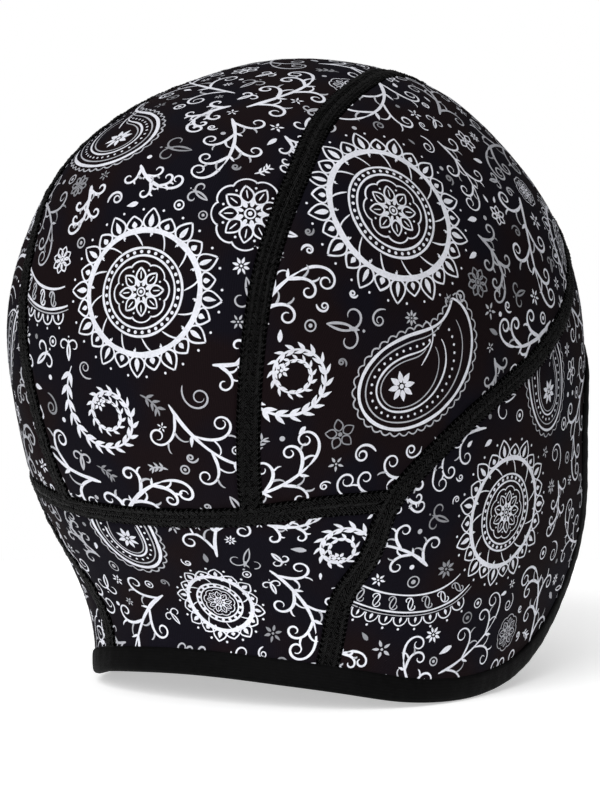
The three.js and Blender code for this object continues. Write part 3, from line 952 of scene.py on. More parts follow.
def cloth_material(
    name,
    colour,
    roughness,
    sheen,
    sheen_tint,
    knit=None,
    bump=0.00008,
    amount=0.3,
    patch=60.0,
    shine=0.1,
    other=None,
):
    """Cloth: its colour broken up by tone and by the knit's painted shade and light, with sheen from its
    fibres.
    """
    if name in made:
        return made[name]
    made[name] = material = bpy.data.materials.new(f"{name}_detail")
    material.use_nodes = True
    nodes, links = material.node_tree.nodes, material.node_tree.links
    shader = nodes["Principled BSDF"]
    shader.inputs["Metallic"].default_value = 0
    shader.inputs["Specular IOR Level"].default_value = shine
    shader.inputs["Sheen Weight"].default_value = sheen
    shader.inputs["Sheen Roughness"].default_value = SHEEN_ROUGHNESS
    shader.inputs["Sheen Tint"].default_value = (*sheen_tint, 1)
    place = nodes.new("ShaderNodeTexCoord")
    tone = nodes.new("ShaderNodeGroup")
    tone.node_tree = wear_and_glint_group()
    tone.inputs["Patch scale"].default_value = patch
    tone.inputs["Amount"].default_value = amount
    links.new(place.outputs["Object"], tone.inputs["Vector"])
    factor = tone.outputs["Tone"]
    height = tone.outputs["Grain"]
    if knit:
        loops = nodes.new("ShaderNodeGroup")
        loops.node_tree = knit_group()
        loops.inputs["Wales per metre"].default_value = knit[0]
        loops.inputs["Courses per metre"].default_value = knit[1]
        links.new(place.outputs["UV"], loops.inputs["Vector"])
        # The knit's painted shade and light: the colour darker between the loops and lighter on them
        factor = maths(nodes, links, "MULTIPLY", factor, loops.outputs["Shade"])
        height = maths(nodes, links, "MULTIPLY_ADD", height, GRAIN_SHARE, loops.outputs["Height"])
    paint = nodes.new("ShaderNodeVectorMath")
    paint.operation = "SCALE"
    paint.inputs[0].default_value = colour
    if other:
        cloud = new_node(nodes, "ShaderNodeTexNoise", CLOUDS)
        links.new(place.outputs["Object"], cloud.inputs["Vector"])
        share = new_node(nodes, "ShaderNodeMapRange", CLOUD_EDGE)
        links.new(cloud.outputs[0], share.inputs["Value"])
        blend = nodes.new("ShaderNodeMix")
        blend.data_type = "RGBA"
        blend.inputs["A"].default_value = (*colour, 1)
        blend.inputs["B"].default_value = (*other, 1)
        links.new(share.outputs[0], blend.inputs["Factor"])
        links.new(blend.outputs["Result"], paint.inputs[0])
    links.new(factor, paint.inputs["Scale"])
    links.new(paint.outputs[0], shader.inputs["Base Color"])
    rough = new_node(nodes, "ShaderNodeMapRange", TONE_RANGE)
    rough.inputs["To Min"].default_value = roughness - ROUGHNESS_SPREAD
    rough.inputs["To Max"].default_value = roughness + ROUGHNESS_SPREAD
    links.new(tone.outputs["Tone"], rough.inputs["Value"])
    links.new(rough.outputs[0], shader.inputs["Roughness"])
    raised = new_node(nodes, "ShaderNodeBump", {"Strength": BUMP_STRENGTH, "Distance": bump})
    links.new(height, raised.inputs["Height"])
    links.new(raised.outputs[0], shader.inputs["Normal"])
    return material


def finish(kind, name=None, tone=1.0):
    """The material of a finish, with its colour from the settings, darker for a tone below one."""
    colours = bpy.context.scene.cap_colours
    settings = dict(FINISHES[kind])
    colour = [channel * tone for channel in getattr(colours, settings.pop("colour"))]
    other = settings.pop("other", None)
    return cloth_material(name or kind, colour, other=getattr(colours, other) if other else None, **settings)


# The ornament: each motif is drawn flat in millimetres, as strokes of changing width and as dots. A number
# beside a motif's radius or length is its share of it, a stroke's width is in usual lines, and a bend is in
# radians over a length.

# A stroke's points: one for so many millimetres or radians of turn, and least counts for open and closed ones
POINT_EVERY, POINT_TURN = 1.15, 0.5
LEAST_OPEN, LEAST_CLOSED = 5, 8
# A drawn line's sway and change of width: their reach in millimetres, and the latter's size
SWAY_REACH, WIDTH_REACH, WIDTH_CHANGE = 5.0, 3.0, 0.2
# How fast a stroke's ends run out, as a rate and a power
END_RATE, END_POWER = 7, 0.7
# Corners of a small and a large dot, and the radius from which it is a large one
DOT_CORNERS, LARGE_DOT_CORNERS, LARGE_DOT = 7, 10, 0.7


def drift(s, rng, reach):
    """Slow random change along a line, about -1 to 1, as in a hand-drawn one."""
    a, b, c = rng.uniform(0, TAU, 3)
    return (np.sin(s / reach + a) + 0.6 * np.sin(1.9 * s / reach + b) + 0.4 * np.sin(3.7 * s / reach + c)) / 2


def turned(points, angle):
    """Points turned about the middle of the motif."""
    c, s = math.cos(angle), math.sin(angle)
    return points @ np.array([[c, s], [-s, c]])


def aim(angle):
    """A step of one in a direction."""
    return np.array([math.cos(angle), math.sin(angle)])


def circle(radius, centre=(0.0, 0.0), count=72):
    """Points of a circle."""
    angles = np.linspace(0, TAU, count, endpoint=False)
    return np.stack([np.cos(angles), np.sin(angles)], axis=1) * radius + np.asarray(centre)


def curl(start, heading, length, bend_start, bend_end, count=90):
    """A line whose bend grows along it, in turns of the heading per millimetre."""
    s = np.linspace(0, length, count)
    bend = bend_start + (bend_end - bend_start) * (s / length) ** 1.6
    step = s[1] - s[0]
    angle = heading + np.concatenate([[0], np.cumsum((bend[1:] + bend[:-1]) / 2 * step)])
    middle = (angle[1:] + angle[:-1]) / 2
    steps = np.stack([np.cos(middle), np.sin(middle)], axis=1) * step
    return np.concatenate([[start], np.asarray(start) + np.cumsum(steps, axis=0)]), angle


def petal(base, tip_at, width, fullness=0.8, count=28):
    """A closed leaf shape from base to tip along the x axis, widest nearer the tip for a low fullness."""
    t = np.linspace(0, 1, count)
    half = width / 2 * np.sin(math.pi * t**fullness) ** 0.85
    x = base + (tip_at - base) * t
    return np.concatenate([np.stack([x, half], 1), np.stack([x[-2:0:-1], -half[-2:0:-1]], 1)])


class Drawing:
    """One motif: strokes, dots and the ground it takes up."""

    def __init__(self, rng, line):
        self.rng = rng
        self.line = line * rng.uniform(0.85, 1.3)
        self.soft = int(rng.choice([0, 0, 0, 0, 1]))
        self.strokes = []
        self.dots = []
        self.ground = []

    def stroke(self, points, width=1.0, closed=False, ends=0.35, loose=0.09, tone=0):
        """A line of a width in usual lines; ends is how thin it runs out, and tone how faint it is."""
        points = np.asarray(points, float)
        if closed:
            points = np.concatenate([points, points[:1]])
        steps = np.hypot(*np.diff(points, axis=0).T)
        s = np.concatenate([[0], np.cumsum(steps)])
        along = unit(np.gradient(points, axis=0))
        heading = np.unwrap(np.arctan2(along[:, 1], along[:, 0]))
        side = np.stack([-along[:, 1], along[:, 0]], axis=1)
        fade = np.sin(math.pi * s / s[-1]) if closed else 1.0
        points = points + side * (loose * fade * drift(s, self.rng, SWAY_REACH))[:, None]
        effort = np.concatenate([[0], np.cumsum(steps / POINT_EVERY + np.abs(np.diff(heading)) / POINT_TURN)])
        count = max(LEAST_CLOSED if closed else LEAST_OPEN, math.ceil(effort[-1]))
        at = np.interp(np.linspace(0, effort[-1], count + 1), effort, s)
        xy = np.stack([np.interp(at, s, points[:, k]) for k in (0, 1)], axis=1)
        widths = np.interp(at, s, np.broadcast_to(np.asarray(width, float), s.shape)) * self.line
        widths = widths * (1 + WIDTH_CHANGE * drift(at, self.rng, WIDTH_REACH))
        if closed:
            xy, widths = xy[:-1], widths[:-1]
        else:
            share = at / s[-1]
            inner = np.clip(np.minimum(share, 1 - share) * END_RATE, 0, 1) ** END_POWER
            widths = widths * (ends + (1 - ends) * inner)
        self.strokes.append((xy, widths, closed, tone))

    def dot(self, x, y, radius):
        """A round dot."""
        self.dots.append((x, y, radius))

    def fill_petal(self, base, tip_at, width, angle, centre=(0.0, 0.0)):
        """A solid drop shape."""
        t = np.linspace(0, 1, 14)
        points = turned(np.stack([base + (tip_at - base) * t, 0 * t], 1), angle) + np.asarray(centre)
        widths = width / self.line * np.sin(math.pi * (0.04 + 0.92 * t) ** 0.75)
        self.stroke(points, widths, ends=1.0, loose=0)

    def cover(self, cell):
        """Centres of the cells of the ground that the motif takes up."""
        points = [stroke[0] for stroke in self.strokes]
        if self.dots:
            points.append(np.array(self.dots)[:, :2])
        points.extend(self.ground)
        cells = np.unique(np.round(np.concatenate(points) / cell).astype(int), axis=0)
        return cells * cell


def around(count, start=0.0):
    """Angles spread evenly over a full turn."""
    return [start + TAU * k / count for k in range(count)]


def rosette(rng, line, radius):
    """A flower of two rings of petals in a scalloped ring."""
    d = Drawing(rng, line * min(1, 0.4 + radius / 20))
    count = int(rng.choice([7, 8, 9, 10]))
    d.dot(0, 0, radius * 0.06)
    d.stroke(circle(radius * 0.13), 0.8, True)
    for angle in around(count):
        d.fill_petal(radius * 0.18, radius * 0.42, radius * 0.12, angle)
    for angle in around(count, math.pi / count):
        d.stroke(turned(petal(radius * 0.3, radius * 0.78, radius * 0.34), angle), 0.85, True)
        d.stroke(turned(np.array([[radius * 0.42, 0], [radius * 0.66, 0]]), angle), 0.6)
    for angle in around(count):
        d.dot(*(radius * 0.72 * aim(angle)), radius * 0.035)
    angles = np.linspace(0, TAU, 40 * count, endpoint=False)
    edge = radius * (0.86 + 0.12 * np.abs(np.sin(angles * count / 2)) ** 0.6)
    d.stroke(np.stack([np.cos(angles), np.sin(angles)], 1) * edge[:, None], 0.8, True)
    d.ground.append(circle(radius * 0.6))
    return d


def medallion(rng, line, radius):
    """A large round ornament: flower, beads, curls and a crown of pointed petals."""
    d = Drawing(rng, line)
    core = rosette(rng, line, radius * 0.36)
    d.strokes += core.strokes
    d.dots += core.dots
    d.stroke(circle(radius * 0.42, count=120), 1.0, True)
    beads = round(TAU * radius * 0.465 / 2.3)
    for angle in around(beads):
        d.dot(*(radius * 0.465 * aim(angle)), 0.55)
    d.stroke(circle(radius * 0.51, count=120), 1.1, True)
    curls = max(8, round(TAU * radius * 0.6 / 8.0))
    for angle in around(curls):
        size = radius * 0.16
        start = turned(np.array([[radius * 0.525, -size * 0.5]]), angle)[0]
        path, _ = curl(start, angle + 0.3, size * 2.6, 0.1 / size, 3.4 / size)
        d.stroke(path, 0.8)
        d.dot(*turned(np.array([[radius * 0.66, size * 0.9]]), angle)[0], 0.45)
    d.stroke(circle(radius * 0.72, count=160), 2.6, True)
    petals = 2 * curls
    for k, angle in enumerate(around(petals)):
        reach = radius * (0.98 if k % 2 else 0.9)
        wide = TAU * radius * 0.8 / petals
        d.stroke(turned(petal(radius * 0.73, reach, wide * 0.95, 0.7), angle), 0.85, True)
        d.fill_petal(radius * 0.76, reach * 0.93, wide * 0.3, angle)
    for angle in around(petals, math.pi / petals):
        d.dot(*(radius * 0.97 * aim(angle)), 0.4)
    for share in (0.2, 0.4, 0.6, 0.8, 0.95):
        d.ground.append(circle(radius * share, count=60))
    return d


def along_line(points):
    """Distances along a line and the unit vectors to its left."""
    lengths = np.concatenate([[0], np.cumsum(np.hypot(*np.diff(points, axis=0).T))])
    along = unit(np.gradient(points, axis=0))
    return lengths, np.stack([-along[:, 1], along[:, 0]], axis=1)


def beside(points, lengths, sides, at, out):
    """Points at distances along a line and out to its left."""
    here = np.stack([np.interp(at, lengths, points[:, k]) for k in (0, 1)], 1)
    left = np.stack([np.interp(at, lengths, sides[:, k]) for k in (0, 1)], 1)
    return here + left * np.reshape(out, (-1, 1))


def paisley(rng, line, length):
    """A curved drop with smaller drops inside it and small scallops round it."""
    d = Drawing(rng, line)
    sign = rng.choice([-1, 1])
    t = np.linspace(0, 1, 80) ** 2
    bend = (0.15 + 4.3 * t**1.5) * sign
    angle = np.concatenate([[0], np.cumsum((bend[1:] + bend[:-1]) / 2 * np.diff(t))])
    heading = np.stack([np.cos(angle), np.sin(angle)], 1)
    steps = (heading[1:] + heading[:-1]) / 2 * np.diff(t)[:, None] * length
    spine = np.concatenate([[[0, 0]], np.cumsum(steps, axis=0)])
    head = spine[np.searchsorted(t, 0.27)]
    side = np.stack([-heading[:, 1], heading[:, 0]], axis=1)
    half = (length * 0.26 * 2.45 * np.sqrt(t) * (1 - t) ** 0.85)[:, None]
    drop = np.concatenate([(spine + side * half)[::-1], (spine - side * half)[1:]])
    d.stroke(drop, 1.6, ends=0.7)
    for share, width, tone in ((0.85, 0.7, 1), (0.6, 1.0, 0), (0.5, 0.6, 1)):
        d.stroke(head + (drop[3:-3] - head) * share, width, ends=0.5, tone=tone)
    middle = head + (drop - head) * 0.725
    lengths, _ = along_line(middle)
    for s in np.arange(2, lengths[-1] - 2, 2.4):
        d.dot(np.interp(s, lengths, middle[:, 0]), np.interp(s, lengths, middle[:, 1]), 0.42)
    lengths, sides = along_line(drop)
    way = np.sign(((drop[70] - head) * sides[70]).sum())
    bumps = round(lengths[-1] / 3.1)
    at = np.linspace(0, lengths[-1], bumps * 9)
    rise = 0.9 + 1.2 * np.abs(np.sin(math.pi * bumps * at / lengths[-1])) ** 0.7
    d.stroke(beside(drop, lengths, sides, at, way * rise), 0.7, ends=1.0, loose=0, tone=1)
    for a in around(8, angle[30]):
        d.fill_petal(length * 0.022, length * 0.09, length * 0.034, a, head)
    d.dot(*head, length * 0.014)
    inner, _ = curl(head + (spine[-8] - head) * 0.34, angle[-14], length * 0.3, 0, 16 * sign / length)
    d.stroke(inner, 0.8)
    d.ground.extend([head + (drop - head) * share for share in (0.3, 0.6)])
    return d


def laurel(rng, line, radius):
    """A spiral branch with pairs of solid leaves that get smaller, and a flower at its end."""
    d = Drawing(rng, line)
    sign = rng.choice([-1, 1])
    path, angle = curl((0, 0), 0, radius * 6.6, 0.8 * sign / radius, 3.6 * sign / radius, 260)
    path = path - (path[:140].max(0) + path[:140].min(0)) / 2
    d.stroke(path, np.linspace(1.3, 0.8, len(path)))
    lengths, _ = along_line(path)
    s = 1.5
    while s < lengths[-1] - 2:
        i = np.searchsorted(lengths, s)
        size = 1 - 0.55 * s / lengths[-1]
        for way in (-1, 1):
            d.fill_petal(0.5, 4.9 * size, 1.5 * size, angle[i] + 0.5 * way, path[i])
        s += 4.4 * size
    for a in around(6, angle[-1]):
        d.fill_petal(0.7, 2.3, 1.0, a, path[-1])
    d.dot(*path[-1], 0.5)
    return d


def lace(rng, line, length):
    """A curved band between two lines, with curls inside, beads and a row of small arches."""
    d = Drawing(rng, line)
    sign = rng.choice([-1, 1])
    path, _ = curl((0, 0), 0, length, 0.5 * sign / length, rng.uniform(1.5, 3.0) * sign / length, 200)
    path = path - (path.max(0) + path.min(0)) / 2
    lengths, sides = along_line(path)
    sides = sides * -sign
    for out, width, tone in ((-2.9, 1.1, 0), (2.9, 1.1, 0), (4.0, 0.6, 1)):
        d.stroke(beside(path, lengths, sides, lengths, out + 0 * lengths), width, ends=0.6, tone=tone)
    for k, s in enumerate(np.arange(3, length - 3, 5.6)):
        i = np.searchsorted(lengths, s)
        lean = math.atan2(sides[i, 1], sides[i, 0])
        for way in (-1, 1):
            heading = lean + (0 if way > 0 else math.pi) - 0.5
            hook, _ = curl(path[i] - sides[i] * 2.2 * way, heading, 7.6, 0.1, 1.5)
            d.stroke(hook, 0.75, tone=int(k % 2))
    arches = np.arange(2.6, length - 2.6, 4.2)
    for s in arches:
        t = np.linspace(0, math.pi, 16)
        arch = beside(path, lengths, sides, s - 1.9 * np.cos(t), 4.6 + 2.7 * np.sin(t))
        d.stroke(arch, 0.8, ends=1.0, loose=0)
        i = np.searchsorted(lengths, s)
        d.fill_petal(0, 1.9, 0.9, math.atan2(sides[i, 1], sides[i, 0]), path[i] + sides[i] * 4.5)
        d.dot(*(path[i] + sides[i] * 8.4), 0.4)
    return d


def spray(rng, line, length):
    """A winding stem with curls branching off it to both sides, and twigs on the curls."""
    d = Drawing(rng, line)
    sign = rng.choice([-1, 1])
    lean = rng.uniform(0.6, 1.3)
    tight = 11 + 0.5 * length
    heading = math.pi / 2 - 0.5 * sign
    bends = (0.7 * sign / length, lean * 1.6 * sign / length)
    stem, angle = curl((0, -length * 0.45), heading, length * 0.8, *bends)
    d.stroke(stem, np.linspace(2.2, 1.3, len(stem)))
    last, _ = curl(stem[-1], angle[-1], length * 0.74, 2.0 * sign / length, tight * sign / length)
    d.stroke(last, np.linspace(1.5, 0.8, len(last)))
    for k, share in enumerate((0.1, 0.36, 0.6, 0.84)):
        i = int(share * (len(stem) - 1))
        way = sign if k % 2 else -sign
        reach = length * (0.7 - 0.12 * share) * rng.uniform(0.9, 1.08)
        last_bend = (tight + 5 * share) * way / length
        branch, turn = curl(stem[i], angle[i] + 0.45 * way, reach, 1.4 * way / length, last_bend)
        d.stroke(branch, np.linspace(1.8, 0.8, len(branch)))
        for at, long in ((0.24, 0.15), (0.4, 0.1)):
            j = int(at * (len(branch) - 1))
            bends = (-4 * way / length, -24 * way / length)
            shoot, _ = curl(branch[j], turn[j] - 0.7 * way, length * long, *bends, 24)
            d.stroke(shoot, np.linspace(1.3, 0.6, len(shoot)), tone=int(rng.integers(2)))
        if k % 2:
            d.fill_petal(0.4, length * 0.1, length * 0.03, angle[i] - 0.8 * way, stem[i])
    return d


def curl_pair(rng, line, radius):
    """Two curls back to back on a short stem, with a bud between."""
    d = Drawing(rng, line)
    for way in (-1, 1):
        heading = math.pi / 2 - 0.35 * way
        path, _ = curl((0, -radius * 0.85), heading, radius * 3.0, 0.3 * way / radius, 4.4 * way / radius)
        d.stroke(path, np.linspace(1.2, 0.75, len(path)))
    d.fill_petal(0, radius * 0.5, radius * 0.2, math.pi / 2, (0, radius * 0.2))
    d.dot(0, radius * 0.9, radius * 0.07)
    d.ground.append(circle(radius * 0.6, count=20))
    return d


def fan(rng, line, radius):
    """Half a flower: pointed petals spread over an arc."""
    d = Drawing(rng, line)
    base = np.array([0, -radius * 0.55])
    for angle in np.linspace(0.25, math.pi - 0.25, 7):
        d.stroke(turned(petal(radius * 0.3, radius * 1.35, radius * 0.36), angle) + base, 0.85, True)
        d.fill_petal(radius * 0.5, radius * 1.05, radius * 0.1, angle, base)
    for share in (0.16, 0.26):
        d.stroke(circle(radius * share) + base, 0.8, True)
    d.ground.append(circle(radius * 0.5, count=20))
    return d


def twig(rng, line, radius):
    """A short bent stem with leaves on both sides."""
    d = Drawing(rng, line)
    sign = rng.choice([-1, 1])
    heading = math.pi / 2 - 0.4 * sign
    bends = (0.3 * sign / radius, 1.2 * sign / radius)
    path, angle = curl((0, -radius * 0.9), heading, radius * 1.9, *bends, 30)
    d.stroke(path, 0.9)
    for k in (6, 13, 20):
        for way in (-1, 1):
            d.fill_petal(0.3, radius * 0.62, radius * 0.2, angle[k] + 0.8 * way, path[k])
    return d


def small_flower(rng, line, radius):
    """A flower of single petals, drawn as outlines when large enough."""
    d = Drawing(rng, line)
    count = int(rng.choice([5, 6, 8]))
    for angle in around(count, rng.uniform(0, TAU)):
        if radius > 3.2:
            d.stroke(turned(petal(radius * 0.22, radius * 0.95, radius * 0.55), angle), 0.8, True)
        else:
            d.fill_petal(radius * 0.28, radius * 0.95, radius * 0.3, angle)
    d.dot(0, 0, radius * 0.14)
    return d


def small_curl(rng, line, radius):
    """One short curl."""
    d = Drawing(rng, line)
    way = rng.choice([-1, 1])
    heading = 0.4 if way > 0 else math.pi - 0.4
    path, _ = curl((0, -radius * 0.9), heading, radius * 4.4, 0.9 * way / radius, 4.2 * way / radius)
    path = path - (path.max(0) + path.min(0)) / 2
    d.stroke(path, np.linspace(1.15, 0.7, len(path)))
    return d


def small_ring(rng, line, radius):
    """A ring round a dot."""
    d = Drawing(rng, line)
    d.stroke(circle(radius * 0.75, count=24), 0.75, True)
    d.dot(0, 0, radius * 0.3)
    return d


def small_dot(rng, line, radius):
    """A dot."""
    d = Drawing(rng, line)
    d.dot(0, 0, min(0.8, radius * 0.6))
    return d


def small_drop(rng, line, radius):
    """A solid drop."""
    d = Drawing(rng, line)
    d.fill_petal(-radius * 0.9, radius * 0.9, radius * 0.75, 0)
    return d


# Motifs per panel: maker, least and greatest size, how many are tried for, and for a large one its place
LAYOUT = {
    "crown_strip": (
        (paisley, 50, 54, 1, (2, 58)), (medallion, 25, 26, 1, (14, 124)), (laurel, 14, 15, 1, (-26, 150)),
        (medallion, 24, 26, 1, (0, -40)), (paisley, 48, 52, 1, (0, -110)), (spray, 36, 46, 5),
        (lace, 46, 60, 1), (spray, 28, 36, 10), (laurel, 12, 13, 1), (rosette, 10, 13, 2),
        (spray, 21, 28, 14), (rosette, 7, 9, 3), (fan, 7, 9, 2), (spray, 15, 20, 24), (curl_pair, 4.5, 7, 14),
    ),
    "side_panel": (
        (medallion, 27, 29, 1, (82, 38)), (paisley, 50, 54, 1, (104, 94)), (laurel, 14, 15, 1, (70, 118)),
        (lace, 46, 54, 1, (120, 36)), (medallion, 20, 22, 1, (92, -60)), (spray, 36, 46, 4),
        (spray, 28, 36, 10), (lace, 40, 50, 1), (rosette, 10, 13, 2), (spray, 21, 28, 14),
        (laurel, 12, 13, 1), (rosette, 7, 9, 3), (fan, 7, 9, 2), (spray, 15, 20, 24), (curl_pair, 4.5, 7, 12),
    ),
    "ear_panel": (
        (medallion, 22, 23, 1, (176, 22)), (laurel, 13, 14, 1, (172, 92)), (paisley, 40, 44, 1, (150, -18)),
        (spray, 30, 40, 4), (lace, 36, 48, 1), (spray, 22, 30, 10), (rosette, 9, 12, 2), (fan, 7, 9, 2),
        (spray, 15, 20, 20), (rosette, 6, 8, 2), (curl_pair, 4.5, 6.5, 10),
    ),
    "nape_panel": (
        (paisley, 42, 46, 1, (-28, 199)), (medallion, 14, 15, 1, (38, 204)), (spray, 28, 36, 4),
        (laurel, 11, 12, 1), (spray, 20, 26, 6), (fan, 7, 9, 2), (rosette, 7, 9, 2), (spray, 14, 19, 14),
        (curl_pair, 4.5, 6.5, 6),
    ),
}  # fmt: skip
# Lines get finer towards the edge of the cap
LINE_SHARE = {"crown_strip": 1.0, "side_panel": 1.0, "ear_panel": 0.84, "nape_panel": 0.9}
# Ground that a motif takes up, in millimetres: side of its cells, a cell's reach, and gap between motifs
CELL = 3.2
CELL_REACH = 1.75
GROUND_GAP = 0.2
# How near to its place a large motif lies, and how many places and turns are tried for each one
HEART_REACH = 11.0
TRIES = 70
# Places that are tried: spacing, and step of the grid that they are drawn from
SPOT_SPACING = 1.7
SPOT_STEP = 0.8
# Small motifs between the others: largest and least size, gap, and share of the room that the drawing fills
FILL_LARGEST = 6.5
FILL_LEAST = 1.5
FILL_GAP = 0.35
FILL_SHARE = 0.92
# Of the places with room for the largest one, the last is taken, by this lead over the one before
LAST_FIRST = 1e-6
# Which small motifs go where there is more room than this
FILLERS = (
    (5.2, (rosette, curl_pair, small_curl)),
    (3.0, (small_flower, small_curl, curl_pair, twig)),
    (1.7, (small_flower, small_ring, small_curl, small_drop)),
    (0.0, (small_dot, small_dot, small_drop)),
)
# Steps over the face when a motif is only tried, and when it is laid
TRY_STEPS, LAY_STEPS = 2, 6
# Motifs stand off the cloth by this share more each, over and over, so that two that meet seldom lie level
STAGGER, STAGGER_COUNT = 0.03, 9
# Seed of the first panel's drawing, with the next ones after it
FIRST_SEED = 100


def lay_out(anchors, turns, points, steps=LAY_STEPS):
    """Places of the flat map for drawn points, each round its own anchor and turned by its own angle."""
    dx, dy, normal = tangents(anchors)
    first = unit(dx - normal * (dx * normal).sum(1, keepdims=True))
    second = np.cross(normal, first)
    reach = np.hypot(points[:, 0], points[:, 1])
    angle = np.arctan2(points[:, 1], points[:, 0]) + turns
    direction = first * np.cos(angle)[:, None] + second * np.sin(angle)[:, None]
    places = anchors.copy()
    for _ in range(steps):
        dx, dy, normal = tangents(places)
        direction = unit(direction - normal * (direction * normal).sum(1, keepdims=True))
        places = slide(places, direction, reach / steps, dx, dy)
    return places


def scatter(loop, spacing, rng):
    """Places spread evenly by real area inside a closed line."""
    low, high = loop.min(0), loop.max(0)
    ticks = [np.arange(a, b, SPOT_STEP) for a, b in zip(low, high)]
    grid = np.stack(np.meshgrid(*ticks, indexing="ij"), -1).reshape(-1, 2)
    grid = grid[is_inside(grid, loop)]
    dx, dy, _ = tangents(grid)
    area = np.linalg.norm(np.cross(dx, dy), axis=1) * SPOT_STEP**2
    keep = rng.uniform(0, 1, len(grid)) < area / spacing**2
    return grid[keep]


def strokes_to_mesh(drawing):
    """Points, faces and tones of a drawing, still flat."""
    points, faces, tones = [], [], []
    count = 0
    for xy, widths, closed, tone in drawing.strokes:
        if closed:
            along = unit(np.roll(xy, -1, axis=0) - np.roll(xy, 1, axis=0))
        else:
            along = unit(np.gradient(xy, axis=0))
        side = np.stack([-along[:, 1], along[:, 0]], axis=1) * widths[:, None] / 2
        n = len(xy)
        points += [xy + side, xy - side]
        last = n if closed else n - 1
        i = np.arange(last)
        j = (i + 1) % n
        faces += (np.stack([i, i + n, j + n, j], 1) + count).tolist()
        tones += [min(tone + drawing.soft, len(INKS) - 1)] * last
        count += 2 * n
    for x, y, radius in drawing.dots:
        n = DOT_CORNERS if radius < LARGE_DOT else LARGE_DOT_CORNERS
        points.append(circle(radius, (x, y), n))
        faces.append(list(range(count, count + n)))
        tones.append(drawing.soft)
        count += n
    return np.concatenate(points), faces, tones


def fill_motif(rng, line, room):
    """A small motif for the room between others."""
    makers = next(makers for least, makers in FILLERS if room > least)
    drawing = makers[int(rng.integers(len(makers)))](rng, line, room * FILL_SHARE)
    drawing.soft = int(rng.choice([0, 0, 0, 1, 2]))
    return drawing


def print_on(loop, layout, line, rng, left):
    """Anchors, turns and drawings that fill a panel without lying on each other."""
    spots = scatter(loop, SPOT_SPACING, rng)
    spots_at = outer_face(spots)
    room = np.full(len(spots), FAR)
    taken = np.zeros((0, 3))
    laid = []
    for maker, least, greatest, count, *heart in layout:
        for _ in range(count):
            drawing = maker(rng, line, rng.uniform(least, greatest))
            if heart:
                drawing.soft = 0
            cells = drawing.cover(CELL)
            open_spots = np.flatnonzero(room > CELL_REACH)
            if heart:
                away = spots - np.array(heart[0]) * (-1 if left else 1, 1)
                open_spots = np.flatnonzero(np.hypot(*away.T) < HEART_REACH)
            if not len(open_spots):
                continue
            picks = spots[rng.choice(open_spots, size=TRIES)]
            turns = rng.uniform(0, TAU, TRIES)
            n = len(cells)
            ground = np.tile(cells, (TRIES, 1))
            places = lay_out(np.repeat(picks, n, axis=0), np.repeat(turns, n), ground, TRY_STEPS)
            at = outer_face(places).reshape(TRIES, n, 3)
            gaps = np.zeros(TRIES)
            if len(taken):
                for i, one in enumerate(at):
                    away = ((one**2).sum(1)[:, None] + (taken**2).sum(1)[None] - 2 * one @ taken.T).min()
                    gaps[i] = math.sqrt(max(away, 0)) - 2 * CELL_REACH - GROUND_GAP
            free = np.flatnonzero(gaps >= 0)
            if not len(free):
                continue
            best = free[gaps[free].argmin()] if len(taken) else 0
            laid.append((picks[best], turns[best], drawing))
            taken = np.concatenate([taken, at[best]])
            for one in at[best]:
                room = np.minimum(room, np.linalg.norm(spots_at - one, axis=1) - CELL_REACH)
    while True:
        k = int(np.minimum(room, FILL_LARGEST + LAST_FIRST * np.arange(len(room))).argmax())
        size = min(room[k], FILL_LARGEST)
        if size < FILL_LEAST:
            break
        laid.append((spots[k], rng.uniform(0, TAU), fill_motif(rng, line, size)))
        room = np.minimum(room, np.linalg.norm(spots_at - spots_at[k], axis=1) - size - FILL_GAP)
    return laid


def kind_of(node):
    """A panel's kind, the same for both of a pair."""
    return node.replace("_right", "").replace("_left", "")


def draw_ornament():
    """One print piece for each panel, a little off the cloth."""
    sizes = bpy.context.scene.cap_sizes
    lines = Lines(PRINT_HALF, PRINT_UP)
    for seed, (node, (sides, left)) in enumerate(PANELS.items()):
        loop = outline(sides(lines))
        if left:
            loop = mirror(loop)
        rng = np.random.default_rng(FIRST_SEED + seed)
        kind = kind_of(node)
        laid = print_on(loop, LAYOUT[kind], sizes.line / MM * LINE_SHARE[kind], rng, left)
        flat, faces, tones, anchors, turns, heights = [], [], [], [], [], []
        count = 0
        for k, (anchor, turn, drawing) in enumerate(laid):
            points, own, own_tones = strokes_to_mesh(drawing)
            flat.append(points)
            tones += own_tones
            faces += [[i + count for i in face] for face in own]
            anchors.append(np.repeat(anchor[None], len(points), axis=0))
            turns.append(np.full(len(points), turn))
            heights.append(np.full(len(points), sizes.ink / MM * (1 + STAGGER * (k % STAGGER_COUNT))))
            count += len(points)
        places = lay_out(np.concatenate(anchors), np.concatenate(turns), np.concatenate(flat))
        inside = is_inside(places, loop)
        whole = [all(inside[i] for i in face) for face in faces]
        kept = [face for face, keep in zip(faces, whole) if keep]
        kept_tones = [tone for tone, keep in zip(tones, whole) if keep]
        used = np.zeros(count, bool)
        used[[i for face in kept for i in face]] = True
        number = np.cumsum(used) - 1
        points = lift(places[used], np.concatenate(heights)[used])
        kept = [tuple(int(number[i]) for i in face) for face in kept]
        a, b, c = (points[[face[k] for face in kept]] for k in range(3))
        outward = (np.cross(b - a, c - a) * tangents(places[used])[2][[face[0] for face in kept]]).sum(1) > 0
        kept = [face if out else tuple(reversed(face)) for face, out in zip(kept, outward)]
        inks = [finish("print_ink", name, tone) for name, tone in INKS]
        piece = new_piece(f"{node}_print", points, kept, inks, material_index=kept_tones)
        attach(piece, "root")


def state_sheets():
    """Looks up the stitched piece of every seam by name."""
    shown = bpy.data.objects
    seams = [shown[f"{node}_stitched"] for node in seam_paths()]


